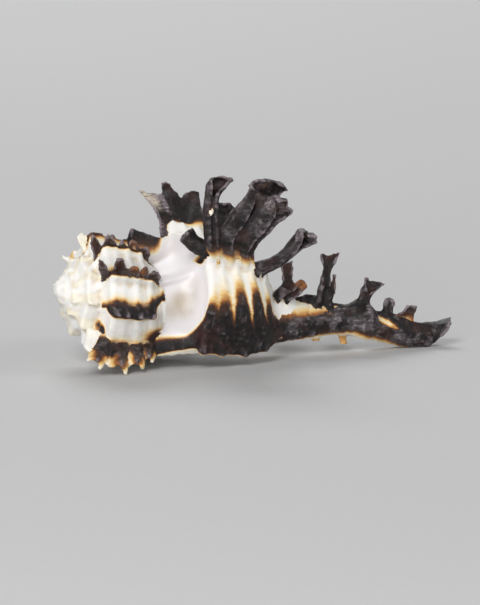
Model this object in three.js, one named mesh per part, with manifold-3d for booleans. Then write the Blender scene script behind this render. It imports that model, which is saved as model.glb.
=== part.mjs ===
// A scorpion murex: a sea shell with five rows of black, web-tipped spines and a long canal.
// Its one piece grew as a coil, so the solid is made the same way: a whorl section is swept
// back from the lip, turn by turn, and the canal and the spines are joined to it.
// Millimetres and degrees. While it is being built the shell lies along its coiling axis:
// x runs from the apex to the canal's tip, and an angle of 0 points to -y and 90 to +z.
import * as THREE from "three";
import { mergeVertices } from "three/addons/utils/BufferGeometryUtils.js";
import Module from "manifold-3d";

const wasm = await Module();
wasm.setup();

// Driving dimensions
const SHELL_LENGTH = 50;
const LIP_ANGLE = -42;
const LIP_RADIUS = 8.4;
const SPIRE_TURNS = 4;
const MOUTH_DEPTH_TURNS = 0.42;
const MOUTH_ANGLE = 222;
const CANAL_RADIUS = 1.75;
const CANAL_BORE_RADIUS = 0.75;
const CANAL_SLIT_WIDTH = 0.7;
const SPINE_THICKNESS = 0.55;
const REST_ROLL = -5.64;
const REST_PITCH = 9.15;
const REST_SHIFT = [-24.75, -3.51, 9.26];

const rad = THREE.MathUtils.degToRad;
const clamp01 = (value) => Math.min(1, Math.max(0, value));
const lerp = (from, to, share) => from + (to - from) * share;
const easeIn = (from, to, value) => {
  const share = clamp01((value - from) / (to - from));
  return share * share * (3 - 2 * share);
};

// Growth. Turns are counted back from the lip: 0 at the mouth's edge, 1 one whorl earlier.
// The last whorl draws in a little towards the mouth and drops a long way down the axis.
const drawnIn = (turn) => 1 - 0.11 * Math.exp(-((turn / 0.1) ** 2));
const spiralRadius = (turn) => LIP_RADIUS * Math.exp(-0.25 * turn - 0.06 * turn ** 2);
const shoulderRadius = (turn) => spiralRadius(turn) * drawnIn(turn);
const lastDrop = (turn) => 11.8 / (1 + Math.exp((turn - 0.74) / 0.16));
const spireSlope = (turn) => lerp(0.5, 0.64, easeIn(0.7, 1.5, turn));
const shoulderAt = (turn) => spireSlope(turn) * spiralRadius(turn) + lastDrop(turn);
const lipReach = (turn) => 0.25 * Math.exp(-((turn / 0.07) ** 2));
const wallStretch = (turn) => 1.33 * (1 + 0.22 * easeIn(0, 1, turn) + lipReach(turn));
const wallLength = (turn) => wallStretch(turn) * shoulderRadius(turn);
const angleOf = (turn) => LIP_ANGLE + 360 * turn;
const turnOf = (angle) => (angle - LIP_ANGLE) / 360;

// Each former lip left a varix, a thick rib, and its angles go on past 360 into the spire. The
// one at 452 stands up from the spire as a fin.
const BODY_VARICES = [38, 105, 170, 235];
const SPIRE_VARICES = [300, 342, 378, 415, 452, 492, 532, 574, 616, 660];
const VARICES = [...BODY_VARICES, ...SPIRE_VARICES].map((angle) => ({
  at: turnOf(angle),
  height: angle === 452 ? 3 : 1,
}));

// How far a varix stands up at a turn, from 0 to its height. It rises slowly on its older side
// and drops away sharply on its younger side. The lip is one in the making.
function varixRise(turn) {
  let rise = Math.exp(-(((turn * 360) / 9) ** 2));
  for (const { at, height } of VARICES) {
    const degrees = (turn - at) * 360;
    const width = degrees > 0 ? 8 : 4.5;
    rise = Math.max(rise, height * Math.exp(-((degrees / width) ** 2)));
  }
  return rise;
}

// The section of one whorl at a turn, as points {x, r} from the old wall above, over the hollow
// beside the spire, the shoulder and the ribbed wall, to the base. lean is the growth line's
// lead in degrees: it runs ahead where the lip climbs to the spire.
const HOLLOW_STEPS = 4;
const CORD_COUNT = 6;
const CORD_HEIGHT = 0.3;

function hollowStart(turn) {
  return shoulderAt(turn) - 0.43 * (shoulderAt(turn) - shoulderAt(turn + 1));
}

function wallRadius(turn, share) {
  const fall = Math.cos(rad(90 * share ** 2.2));
  return shoulderRadius(turn) * (0.42 + 0.58 * fall);
}

function whorlSection(turn) {
  const radius = shoulderRadius(turn);
  const top = shoulderAt(turn);
  const start = hollowStart(turn);
  const oldShare = (start - shoulderAt(turn + 1)) / wallLength(turn + 1);
  const oldWall = wallRadius(turn + 1, clamp01(oldShare));
  const rise = varixRise(turn);
  const size = radius / LIP_RADIUS;
  const points = [{ x: start, r: 0.4 * radius, lean: 18 }];
  for (let i = 0; i < HOLLOW_STEPS; i++) {
    const share = i / HOLLOW_STEPS;
    const bend = rad(90 * share);
    const fin = Math.min(rise, 1) * 2.4 * size * (1 - 0.95 * share ** 3);
    points.push({
      x: lerp(start, top, Math.sin(bend)),
      r: lerp(oldWall - 0.35 * size, radius, 1 - Math.cos(bend)) + fin,
      lean: 18 * (1 - share) ** 1.5,
    });
  }
  const steps = 2 * CORD_COUNT;
  for (let i = 0; i <= steps; i++) {
    const share = (0.96 * i) / steps;
    const cord = i % 2 ? CORD_HEIGHT * size : 0;
    const rib = 0.85 * size * rise * (1 - 0.5 * share);
    points.push({
      x: top + share * wallLength(turn),
      r: wallRadius(turn, share) + cord + rib,
      lean: 0,
    });
  }
  points.push({ x: top + wallLength(turn), r: 0.3 * radius, lean: 0 });
  return points;
}

const onCoil = (x, r, angle) =>
  new THREE.Vector3(x, -r * Math.cos(rad(angle)), r * Math.sin(rad(angle)));

// The triangles that close a flat outline, all wound the way its points run.
function closing(outline) {
  const { area, triangulateShape } = THREE.ShapeUtils;
  const forwards = area(outline) > 0;
  return triangulateShape(outline, []).map((corners) => {
    const same = area(corners.map((i) => outline[i])) > 0 === forwards;
    return same ? corners : [corners[2], corners[1], corners[0]];
  });
}

// A closed geometry through rings of equal size. Its ends are closed like the two outlines,
// which are the end rings drawn flat.
function loft(rings, firstOutline, lastOutline) {
  const around = rings[0].length;
  const last = (rings.length - 1) * around;
  const index = [];
  for (let start = 0; start < last; start += around) {
    for (let i = 0; i < around; i++) {
      const a = start + i;
      const b = start + ((i + 1) % around);
      index.push(a, b, b + around, a, b + around, a + around);
    }
  }
  for (const [a, b, c] of closing(firstOutline)) index.push(c, b, a);
  for (const [a, b, c] of closing(lastOutline)) index.push(last + a, last + b, last + c);
  const positions = rings.flat().flatMap((point) => point.toArray());
  const geometry = new THREE.BufferGeometry();
  geometry.setAttribute("position", new THREE.Float32BufferAttribute(positions, 3));
  geometry.setIndex(index);
  return geometry;
}

// A closed geometry as a manifold solid, turned outwards if its rings ran the other way.
function solid(geometry) {
  for (const name of Object.keys(geometry.attributes)) {
    if (name !== "position") geometry.deleteAttribute(name);
  }
  const merged = mergeVertices(geometry, 1e-4);
  const triVerts = new Uint32Array(merged.index.array);
  const vertProperties = new Float32Array(merged.attributes.position.array);
  const made = new wasm.Manifold(new wasm.Mesh({ numProp: 3, vertProperties, triVerts }));
  if (made.volume() > 0) return made;
  for (let i = 0; i < triVerts.length; i += 3) {
    [triVerts[i + 1], triVerts[i + 2]] = [triVerts[i + 2], triVerts[i + 1]];
  }
  return new wasm.Manifold(new wasm.Mesh({ numProp: 3, vertProperties, triVerts }));
}

// The stations of the sweep: close together round each varix, further apart between them.
function stationsBetween(from, to, spacing) {
  const marks = [from, to];
  for (const { at } of VARICES) {
    const around = at < 0.9 ? [-8, -4, 0, 5, 12] : [-6, 0, 9];
    marks.push(...around.map((degrees) => at + degrees / 360));
  }
  if (from === 0) marks.push(5 / 360, 12 / 360);
  const inside = marks.filter((turn) => turn >= from && turn <= to).sort((a, b) => a - b);
  const stations = [inside[0]];
  for (const turn of inside.slice(1)) {
    const gap = turn - stations.at(-1);
    if (gap < 2.5 / 360 && turn !== to) continue;
    const extra = Math.floor(gap / spacing);
    for (let i = 1; i <= extra; i++) stations.push(stations.at(-1) + gap / (extra + 1));
    stations.push(turn);
  }
  return stations;
}

function coilPiece(from, to, spacing) {
  const sections = stationsBetween(from, to, spacing).map((turn) => ({
    turn,
    points: whorlSection(turn),
  }));
  const rings = sections.map(({ turn, points }) =>
    points.map(({ x, r, lean }) => onCoil(x, r, angleOf(turn) - lean)),
  );
  const outline = ({ points }) => points.map(({ x, r }) => new THREE.Vector2(x, r));
  return solid(loft(rings, outline(sections[0]), outline(sections.at(-1))));
}

function coil() {
  const pieces = [];
  for (let i = 0; i < 6; i++) pieces.push(coilPiece(i / 3, (i + 1) / 3, 14 / 360));
  for (let i = 4; i < 2 * SPIRE_TURNS; i++) pieces.push(coilPiece(i / 2, (i + 1) / 2, 30 / 360));
  return wasm.Manifold.union(pieces);
}

// The pillar inside the coil, turned on the axis from the apex to the start of the canal.
function pillar() {
  const profile = [
    [0, 0.1],
    [0.5, 0.1],
    [3.1, 2.6],
    [3.9, 5],
    [3.9, 15],
    [3.2, 22],
    [2.9, 27.5],
    [2.2, 29.5],
    [0, 29.5],
  ];
  const points = profile.map(([r, x]) => new THREE.Vector2(r, x));
  return solid(new THREE.LatheGeometry(points, 16).rotateZ(rad(-90)));
}

// A tube along stations {x, r, angle, radius}: round, with its faces across the axis.
function tube(stations, sides = 12) {
  const rings = stations.map(({ x, r, angle, radius, slant = 0 }) => {
    const centre = onCoil(x, r, angle);
    return Array.from({ length: sides }, (_, i) => {
      const around = rad((360 * i) / sides);
      const up = Math.sin(around) * radius;
      const offset = new THREE.Vector3(slant * up, -Math.cos(around) * radius, up);
      return centre.clone().add(offset);
    });
  });
  const outline = (ring) => ring.map(({ y, z }) => new THREE.Vector2(y, z));
  return solid(loft(rings, outline(rings[0]), outline(rings.at(-1))));
}

// The canal is a little crooked, and its end is cut off at a slant.
const canal = () =>
  tube([
    { x: 22, r: 0, angle: 0, radius: 2.9 },
    { x: 27, r: 0.7, angle: -80, radius: 2.9 },
    { x: 31, r: 0.45, angle: -75, radius: 2.2 },
    { x: 35, r: 0.1, angle: 90, radius: 1.8 },
    { x: 39, r: 0.05, angle: 90, radius: 1.75 },
    { x: 43, r: 0.15, angle: -90, radius: CANAL_RADIUS },
    { x: 46.5, r: 0.3, angle: -90, radius: CANAL_RADIUS },
    { x: SHELL_LENGTH - 1.2, r: 0.15, angle: 90, radius: 1.7, slant: 0.6 },
  ]);

// The lip's outer layer runs on along the front of the canal and stops at a rough, thick edge.
const lipLayer = () =>
  tube(
    [
      { x: 24, r: 1, angle: -40, radius: 2.7 },
      { x: 28, r: 0.9, angle: -35, radius: 2.2 },
      { x: 33, r: 0.7, angle: -15, radius: 1.6 },
      { x: 36.6, r: 0.7, angle: 0, radius: 1.5 },
      { x: 37.8, r: 0.9, angle: 15, radius: 1.75 },
      { x: 39.3, r: 0.9, angle: 15, radius: 1.45, slant: 0.2 },
    ],
    9,
  );

// A spine is a plate curled along its length, with its groove facing the way the shell grew. It
// narrows above its base and spreads at its end into a head with two points. foot and tip are
// {x, r, angle} and head is the width of its end.
function spine({ foot, tip, head, base = 2.6, fork = 0.9 }) {
  const start = onCoil(foot.x, foot.r - 0.8, foot.angle);
  const end = onCoil(tip.x, tip.r, tip.angle);
  const along = end.clone().sub(start);
  const length = along.length();
  along.normalize();
  const middleAngle = rad((foot.angle + tip.angle) / 2);
  const older = new THREE.Vector3(0, Math.sin(middleAngle), Math.cos(middleAngle));
  older.addScaledVector(along, -older.dot(along)).normalize();
  const across = new THREE.Vector3().crossVectors(along, older);
  const waist = Math.min(0.75 * base, 0.4 * head + 0.5);
  const stations = [
    { at: 0, width: base, curl: 0.8, thick: 1.4 },
    { at: 0.16, width: lerp(base, waist, 0.6), curl: 0.75, thick: 1.1 },
    { at: 0.42, width: waist, curl: 0.6, thick: 0.75 },
    { at: 0.68, width: waist * 1.05, curl: 0.5, thick: SPINE_THICKNESS },
    { at: 0.86, width: lerp(waist, head, 0.45), curl: 0.45, thick: SPINE_THICKNESS },
    { at: 1, width: head, curl: 0.35, thick: 0.4, fork },
  ];
  const section = [-1, -0.55, 0, 0.55, 1].map((side) => ({ side, back: true }));
  section.push(...[0.55, 0, -0.55].map((side) => ({ side, back: false })));
  const outlines = stations.map(({ width, curl, thick }) =>
    section.map(({ side, back }) => {
      const depth = curl * (1 - side ** 2) - (back ? 0 : thick);
      return new THREE.Vector2((side * width) / 2, depth);
    }),
  );
  const rings = stations.map(({ at, fork: split = 0 }, j) => {
    const bow = 0.1 * length * Math.sin(Math.PI * at);
    const centre = start.clone().addScaledVector(along, at * length).addScaledVector(older, -bow);
    return outlines[j].map(({ x, y }, i) =>
      centre
        .clone()
        .addScaledVector(across, x)
        .addScaledVector(older, y)
        .addScaledVector(along, split * (Math.abs(section[i].side) - 1)),
    );
  });
  return solid(loft(rings, outlines[0], outlines.at(-1)));
}

// Where a spine stands on a varix: x along the axis, on the whorl's wall.
function footAt(x, angle) {
  const turn = turnOf(angle);
  const share = clamp01((x - shoulderAt(turn)) / wallLength(turn));
  return { x, r: wallRadius(turn, share), angle };
}

const onCanal = (x, angle) => ({ x, r: x < 32 ? 2.6 : 2, angle });

// The row at the front, on the varix before the lip: foot x, then the tip's x, radius and angle,
// and the head's width.
const FRONT_ROW = [
  [16, 11.4, 10.3, 50, 2],
  [17.3, 14.9, 16.7, 58, 3.2],
  [19.2, 21.2, 17, 56, 4.8],
  [21.2, 24.2, 13.9, 55, 3.4],
  [23.5, 27.4, 10.4, 52, 3],
];
const BACK_ROW = [
  [14.4, 12.2, 13.9, 116, 2.2],
  [15.9, 15, 14.9, 115, 2.8],
  [17.9, 19.3, 14.7, 114, 3.2],
  [20.5, 24.7, 13.7, 114, 3.2],
];
// The far row: place down the wall, lean towards the apex in degrees, length, head's width.
const FAR_ROW = [
  [0.06, 20, 5.5, 2.2],
  [0.22, 8, 8.2, 3.2],
  [0.43, -6, 8.6, 3.6],
  [0.64, -22, 7.6, 3],
  [0.84, -42, 6, 2.6],
];
// On the canal: the foot's x and angle, the tip's x, radius and angle, and the head's width.
const CANAL_SPINES = [
  [27.9, 62, 27.8, 6.4, 70, 1.8],
  [29.4, 58, 30.2, 4.6, 62, 1.4],
  [33.4, 66, 32.9, 7.7, 75, 2.8],
  [34.6, 68, 34.8, 5.6, 72, 0.8],
  [38.2, 66, 38.9, 5, 72, 2.2],
  [41.4, 70, 41.6, 3.5, 74, 1.2],
  [43.9, 80, 44.2, 2.5, 84, 1],
  [29, 160, 32.5, 9.4, 172, 2.4],
  [34.5, 165, 37.8, 6.5, 174, 2],
  [32.8, -70, 33, 3.1, -72, 1],
  [36.4, -74, 36.7, 2.9, -76, 0.9],
];
// Short scales on the older varices: how far the foot is below the shoulder, then how far the
// tip stands off the wall and how far it leans to the apex.
const SCALES = [
  [0.4, 2.3, 1.8],
  [2.2, 2.7, 1.2],
  [4.3, 2.2, 1],
  [6.2, 1.8, 0.9],
];
const SCALE_SIZES = { 235: 0.6, 300: 1.9, 342: 0.9, 378: 1.1, 415: 1, 492: 0.5 };

function farRow(angle) {
  const turn = turnOf(angle);
  return FAR_ROW.map(([share, lean, length, head]) => {
    const foot = footAt(shoulderAt(turn) + share * wallLength(turn), angle);
    const tip = {
      x: foot.x - length * Math.sin(rad(lean)),
      r: foot.r + length * Math.cos(rad(lean)),
      angle: angle + 12,
    };
    return spine({ foot, tip, head });
  });
}

function scales(angle, size) {
  return SCALES.map(([drop, length, lean]) => {
    const foot = footAt(shoulderAt(turnOf(angle)) + drop, angle);
    const tip = { x: foot.x - lean * size, r: foot.r + length * size, angle: angle + 7 };
    return spine({ foot, tip, head: 1, base: 2.1, fork: 0.3 });
  });
}

function spines() {
  const row = (places, angle) =>
    places.map(([x, tipX, r, tipAngle, head]) =>
      spine({ foot: footAt(x, angle), tip: { x: tipX, r, angle: tipAngle }, head }),
    );
  const canalSpines = CANAL_SPINES.map(([x, angle, tipX, r, tipAngle, head]) =>
    spine({
      foot: onCanal(x, angle),
      tip: { x: tipX, r, angle: tipAngle },
      head,
      base: 1.6,
      fork: 0.3 * head,
    }),
  );
  return [
    ...row(FRONT_ROW, 38),
    ...row(BACK_ROW, 105),
    ...farRow(170),
    ...canalSpines,
    ...Object.entries(SCALE_SIZES).flatMap(([angle, size]) => scales(Number(angle), size)),
  ];
}

// The room inside the last part of the coil, open at the mouth and narrowing as it goes back.
function mouthRoom() {
  const sides = 14;
  const stations = [-0.1, -0.05, 0, 0.05, 0.11, 0.17, 0.23, 0.29, 0.35, 0.4, MOUTH_DEPTH_TURNS];
  const sections = stations.map((turn) => {
    const radius = shoulderRadius(Math.max(turn, 0));
    const shrink = Math.sqrt(1 - Math.max(0, (turn - 0.3) / 0.125) ** 2) || 0.15;
    return Array.from({ length: sides }, (_, i) => {
      const around = rad((360 * i) / sides);
      const [across, out] = [Math.cos(around), Math.sin(around)].map(
        (share) => shrink * Math.sign(share) * Math.abs(share) ** 0.75,
      );
      return {
        x: shoulderAt(Math.max(turn, 0)) + radius * (0.48 + 0.56 * across),
        r: radius * (0.6 + 0.36 * out),
      };
    });
  });
  const rings = sections.map((points, j) =>
    points.map(({ x, r }) => onCoil(x, r, angleOf(stations[j]))),
  );
  const outline = (points) => points.map(({ x, r }) => new THREE.Vector2(x, r));
  return solid(loft(rings, outline(sections[0]), outline(sections.at(-1))));
}

// The channel from the mouth to the canal's end, with the slit along it that faces the mouth's way.
function channel() {
  const ball = (x, r, radius) => {
    const { x: cx, y, z } = onCoil(x, r, LIP_ANGLE);
    return wasm.Manifold.sphere(radius, 10).translate([cx, y, z]);
  };
  const parts = [
    wasm.Manifold.hull([ball(22, 4.2, 1.3), ball(25.5, 2, 1)]),
    wasm.Manifold.hull([ball(25.5, 2, 1), ball(30, 0, CANAL_BORE_RADIUS)]),
    wasm.Manifold.hull([ball(30, 0, CANAL_BORE_RADIUS), ball(SHELL_LENGTH + 1, 0, 0.65)]),
  ];
  const slit = new THREE.BoxGeometry(SHELL_LENGTH - 24, 7, CANAL_SLIT_WIDTH)
    .translate(24 + (SHELL_LENGTH - 24) / 2 + 1, -3.5, 0)
    .rotateX(rad(-MOUTH_ANGLE));
  return wasm.Manifold.union([...parts, solid(slit)]);
}

// The whole shell lies with its mouth down on the spines underneath, its axis along x. The tips
// that carry it are worn flat.
function layDown(shell) {
  const rolled = shell.rotate([REST_ROLL, 0, 0]);
  return rolled.rotate([0, REST_PITCH, 0]).translate(REST_SHIFT).trimByPlane([0, 0, 1], 0);
}

const joined = wasm.Manifold.union([coil(), pillar(), canal(), lipLayer(), ...spines()]);
const hollowed = joined.subtract(wasm.Manifold.union([mouthRoom(), channel()]));
const largest = (bodies) => bodies.reduce((a, b) => (a.volume() > b.volume() ? a : b));
const whole = layDown(largest(hollowed.decompose()).simplify(0.08));
const { vertProperties, triVerts } = whole.getMesh();

const geometry = new THREE.BufferGeometry();
geometry.setAttribute("position", new THREE.Float32BufferAttribute(vertProperties, 3));
geometry.setIndex(new THREE.Uint32BufferAttribute(triVerts, 1));
const shell = new THREE.Mesh(geometry, new THREE.MeshStandardMaterial({ color: 0xf2ece0 }));
shell.name = "shell";

const group = new THREE.Group();
group.add(shell);
export default group;
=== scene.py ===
# %% [markdown]
# # A scorpion murex, grown the way the snail grew it
#
# The real thing is a sea shell about five centimetres long: a short coiled spire, one large
# whorl, a long canal, and rows of black spines left standing where the lip once was. All of it
# is one piece of lime, so it becomes one Blender mesh.
#
# It could be sculpted by eye or pieced together from cones. Here it is grown instead: every
# point of the coil comes from the turn at which the snail made it, because colour bands, ribs,
# growth lines and spines all follow the turns, and then they line up by themselves.
#
# The packed model is loaded first. It says how large the shell is and how it lies.

# %% Load the solid that the looks are built around
import math
from collections import namedtuple

import bpy
import numpy as np
from mathutils import Matrix
from mathutils.bvhtree import BVHTree


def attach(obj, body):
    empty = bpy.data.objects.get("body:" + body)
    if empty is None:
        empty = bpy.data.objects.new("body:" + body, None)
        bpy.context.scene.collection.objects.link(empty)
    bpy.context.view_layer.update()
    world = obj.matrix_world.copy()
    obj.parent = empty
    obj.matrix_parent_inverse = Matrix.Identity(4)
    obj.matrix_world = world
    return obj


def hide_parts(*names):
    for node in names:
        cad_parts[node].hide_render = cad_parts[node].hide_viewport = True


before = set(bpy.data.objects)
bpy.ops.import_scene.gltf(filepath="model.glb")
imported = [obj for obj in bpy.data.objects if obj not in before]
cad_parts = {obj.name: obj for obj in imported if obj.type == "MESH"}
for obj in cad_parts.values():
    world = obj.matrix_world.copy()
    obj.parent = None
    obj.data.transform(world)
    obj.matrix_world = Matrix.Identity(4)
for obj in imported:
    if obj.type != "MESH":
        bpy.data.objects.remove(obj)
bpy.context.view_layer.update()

# %% [markdown]
# ## The law of growth
#
# A shell grows by adding a strip to its lip while it turns about an axis, and each turn is a
# little larger than the last. Counting turns back from the lip, the radius falls off along a
# curve, and the shoulder climbs to the apex at x = 0. The last turn also drops a long way down
# the axis, which leaves the wide white hollow beside the spire.
#
# The lengths are in millimetres while the shell is made, which keeps Blender's voxel sizes
# comfortable. They are turned into metres at the very end.

# %% Settle the sizes of the growth
LIP_ANGLE = -42.0
LIP_RADIUS = 8.4
LAST_DROP = 11.8
DROP_AT_TURN = 0.74


def mix(low, high, share):
    return low + (high - low) * share


def ease(low, high, value):
    """0 below low, 1 above high, and a smooth step between them."""
    share = np.clip((value - low) / (high - low), 0, 1)
    return share * share * (3 - 2 * share)


def spiral_radius(turn):
    return LIP_RADIUS * np.exp(-0.25 * turn - 0.06 * turn**2)


def shoulder_radius(turn):
    """The spiral's radius, drawn in a little at the lip."""
    return spiral_radius(turn) * (1 - 0.11 * np.exp(-((turn / 0.1) ** 2)))


def shoulder_at(turn):
    """Where the shoulder lies along the axis: a cone, and the drop of the last turn."""
    slope = mix(0.5, 0.64, ease(0.7, 1.5, turn))
    drop = LAST_DROP / (1 + np.exp((turn - DROP_AT_TURN) / 0.16))
    return slope * spiral_radius(turn) + drop


def wall_length(turn):
    """How far the wall reaches along the axis, from the shoulder to the base."""
    lip_reach = 0.25 * np.exp(-((turn / 0.07) ** 2))
    return 1.33 * (1 + 0.22 * ease(0, 1, turn) + lip_reach) * shoulder_radius(turn)


def wall_radius(turn, share):
    """Distance of the bare wall from the axis, at a share of its length."""
    fall = np.cos(np.radians(90 * np.clip(share, 0, 1) ** 2.2))
    return shoulder_radius(turn) * (0.42 + 0.58 * fall)


def hollow_start(turn):
    """Where the hollow begins on the wall of the turn before."""
    return shoulder_at(turn) - 0.43 * (shoulder_at(turn) - shoulder_at(turn + 1))


def turn_of(angle):
    return (angle - LIP_ANGLE) / 360


def unit(vectors):
    return vectors / np.linalg.norm(vectors, axis=-1, keepdims=True)


def on_coil(x, r, angle):
    """A point at x along the axis and r from it. An angle of 0 faces -y, 90 faces up."""
    angle = np.radians(angle)
    return np.stack(np.broadcast_arrays(x, -r * np.cos(angle), r * np.sin(angle)), axis=-1)


print("radius of whorls 0 to 4 in mm:", spiral_radius(np.arange(5)).round(2))

# %% [markdown]
# ## The varices
#
# Now and then the snail stops, thickens its lip, paints it black and grows spines on it. When
# it grows on, that lip stays behind as a varix: a rib across the whorl, with a thin fin where
# it crosses the hollow. Each has its own height and its own strength of colour, so they are
# kept in one table by angle. The angle goes on past 360 into the spire.

# %% List the varices
# rib and fin: their heights; dark: how deep the colour may go, in mm; start and reach: where
# the colour begins and ends, in degrees from the varix towards its older side; near and ahead:
# from which share of the hollow it begins sooner, and how much; sag: how much sooner halfway
# down the wall; rise: how much later it begins and ends at the suture
Varix = namedtuple("Varix", "angle rib fin dark start reach near ahead sag rise")
VARICES = [
    Varix(38, 1.5, 0.3, 2.0, 1, 9, -0.1, -20, 0, 0),
    Varix(105, 2.1, 1.55, 2.0, 2, 9, -0.25, 4.7, 0, 0),
    Varix(170, 1.2, 1.0, 2.0, -1, 9, -0.1, 0, 0, 0),
    Varix(235, 1.0, 0.6, 2.0, -1, 8, -0.1, 0, 0, 0),
    Varix(300, 1.1, 1.4, 0.6, 1, 5, 0.15, -20, 0, 0),
    Varix(342, 1.8, 0.3, 1.4, 3.5, 9, -0.45, -14, 8, 15),
    Varix(378, 1.4, 0.4, 0.6, 2, 6, -0.1, -10, 0, 0),
    Varix(415, 1.4, 0.6, 0.7, 1, 7, -0.1, -10, 0, 0),
    Varix(452, 2.2, 0.8, 0.5, -1, 7, -0.1, -4, 0, 0),
    Varix(492, 1.4, 0.8, -0.4, 0, 4, -0.1, 0, 0, 0),
    Varix(532, 1.4, 0.8, -0.7, 0, 3, -0.1, 0, 0, 0),
]
VARICES += [Varix(angle, 1.5, 0.8, -1.0, 0, 2, -0.1, 0, 0, 0) for angle in range(574, 1500, 43)]
# how wide the slopes are, in degrees
OLDER_SLOPE = 8.0
FIN_SLOPE = 17.0
YOUNGER_SLOPE = 3.0
LIP_SLOPE = 9.0


def risen(turn, part):
    """How far the varices' ribs or fins stand up at a turn. The lip is one in the making."""
    most = np.exp(-((turn * 360 / LIP_SLOPE) ** 2))
    older_slope = OLDER_SLOPE if part == "rib" else FIN_SLOPE
    for varix in VARICES:
        degrees = (turn - turn_of(varix.angle)) * 360
        width = np.where(degrees > 0, older_slope, YOUNGER_SLOPE)
        most = np.maximum(most, getattr(varix, part) * np.exp(-((degrees / width) ** 2)))
    return most


print(len(VARICES), "varices; the body's are at", [v.angle for v in VARICES[:4]], "degrees")

# %% [markdown]
# ## The cords
#
# Five rounded cords run round the whorl, each ending in a spine of every row. They spread a
# little further apart towards the lip, so their places are mixed from two short lists. A
# fainter cord runs in each gap. The same function later steers the black tongues, which lie
# on the cords.

# %% Place the cords on the wall
CORDS_AT_LIP = np.array([0.05, 0.24, 0.50, 0.76, 1.0])
CORDS_AT_VARIX = np.array([0.06, 0.18, 0.36, 0.56, 0.78])
CORD_WIDTH = 0.05
CORD_HEIGHT = 0.34
FAINT_WIDTH = 0.03
FAINT_HEIGHT = 0.3


def cord_places(turn):
    return mix(CORDS_AT_LIP, CORDS_AT_VARIX, ease(0, 0.22, turn))


def crest(share, place, width=CORD_WIDTH):
    return np.exp(-(((share - place) / width) ** 2))


def cord_relief(turn, share):
    places = cord_places(turn)
    main = sum(crest(share, place) for place in places)
    gaps = (places[1:] + places[:-1]) / 2
    faint = sum(crest(share, place, FAINT_WIDTH) for place in gaps)
    return np.minimum(main, 1) + FAINT_HEIGHT * faint


print("cords at the lip, as shares of the wall:", cord_places(0.0))

# %% [markdown]
# ## The colour, worked out with the growth
#
# The black is not paint on top. It was laid down with each strip of shell, so it begins sharply
# where the snail started a varix and fades out in tongues along the cords on the older side.
# One number per point holds it: how deep the point lies inside a dark band, in millimetres.
# Below zero is pale shell, and round zero come the cream and the orange. The material turns
# that depth into colour later, with a little noise, so edges stay crisp at any mesh size.
#
# Yellow dirt came long after the growth, but it lies in places that the turns can name too: a
# few spots of the last hollow. The grooves of the older wall get a yellow painted shade, placed
# by the turns as well. A second number holds both.

# %% Work out how dark a point of the coil is
LIP_DARK = 2.0
TONGUE_TIPS = np.array([45.0, 49.0, 58.0, 60.0, 54.0])
TONGUE_GAPS = 34.0
TONGUE_WIDTH = 0.105
HOLLOW_TONGUE = 9.5
SHARP_SIDE = 5.5
FADING_SIDE = 1.7
PALE_EDGE = -1.0
PALEST = -3.0
# an oval patch on the coil: its middle, its half sizes, and how dark or dirty it is
Spot = namedtuple("Spot", "angle share half_angle half_share strength")
# three run together in the hollow beside the lowest row of scales, and one lies at its foot
SPOTS = [
    Spot(312.5, -0.42, 6.5, 0.13, 1.3),
    Spot(318, -0.62, 9, 0.20, 0.25),
    Spot(321, -0.72, 8, 0.22, -0.1),
    Spot(312, 0.63, 13, 0.18, 0.8),
]


def off_spot(spot, angle, share):
    """How far places lie from a spot's middle: 0 there, and 1 at its edge."""
    return np.hypot((angle - spot.angle) / spot.half_angle, (share - spot.share) / spot.half_share)


def lip_tongues(turn, share):
    """How many degrees the lip's dark band reaches back, at each share of the wall."""
    places = cord_places(turn)
    reach = np.full_like(share, TONGUE_GAPS)
    for place, tip in zip(places, TONGUE_TIPS):
        off = np.abs(share - place) / TONGUE_WIDTH
        reach = np.maximum(reach, mix(TONGUE_GAPS, tip, np.clip(1 - off**3, 0, 1)))
    return mix(HOLLOW_TONGUE, reach, ease(-0.6, 0.02, share) ** 1.6)


def coil_depth(turn, share):
    """Depth inside a dark band in mm, for points of the section at one turn."""
    mm_per_degree = shoulder_radius(turn) * math.pi / 180
    degrees = turn * 360
    in_hollow = mix(1.8, 3.2, ease(-0.3, -0.6, share))
    softness = mix(in_hollow, 0.55, ease(-0.05, 0.08, share))
    depth = np.minimum((lip_tongues(turn, share) - degrees) * mm_per_degree * softness, LIP_DARK)
    relief = cord_relief(turn, share)
    for varix in VARICES:
        older = degrees - turn_of(varix.angle) * 360
        halfway = np.clip(1 - ((share - 0.22) / 0.52) ** 4, 0, 1)
        hidden = ease(varix.near, varix.near - 0.35, share)
        start = varix.start - varix.ahead * hidden - varix.sag * halfway
        older = older - varix.rise * ease(0.42, 0.78, share)
        fading = FADING_SIDE * (varix.reach + 4 * relief - older)
        band = np.minimum(fading, SHARP_SIDE * (older - start + relief))
        depth = np.maximum(depth, np.minimum(band * mm_per_degree, varix.dark))
    for spot in SPOTS:
        off = off_spot(spot, degrees + LIP_ANGLE, share)
        depth = np.maximum(depth, spot.strength - 2.0 * np.maximum(off - 0.4, 0))
    depth = np.minimum(depth, PALE_EDGE + 0.8 * np.maximum(degrees, 0))
    return np.maximum(depth, PALEST)


print("depth along the third cord, lip to 75 degrees back:",
      [round(float(coil_depth(d / 360, np.array([0.45]))[0]), 1) for d in (0, 25, 50, 75)])

# %% Say where the coil is dirty, and where its grooves get painted shade
STAINS = [
    Spot(22, -0.40, 12, 0.14, 0.6),
    Spot(9, -0.55, 17, 0.22, 1.0),
    Spot(2, -0.74, 14, 0.16, 0.6),
]
# how strongly the grooves of the older wall are painted yellow: painted shade
GROOVE_SHADE = 0.55


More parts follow.
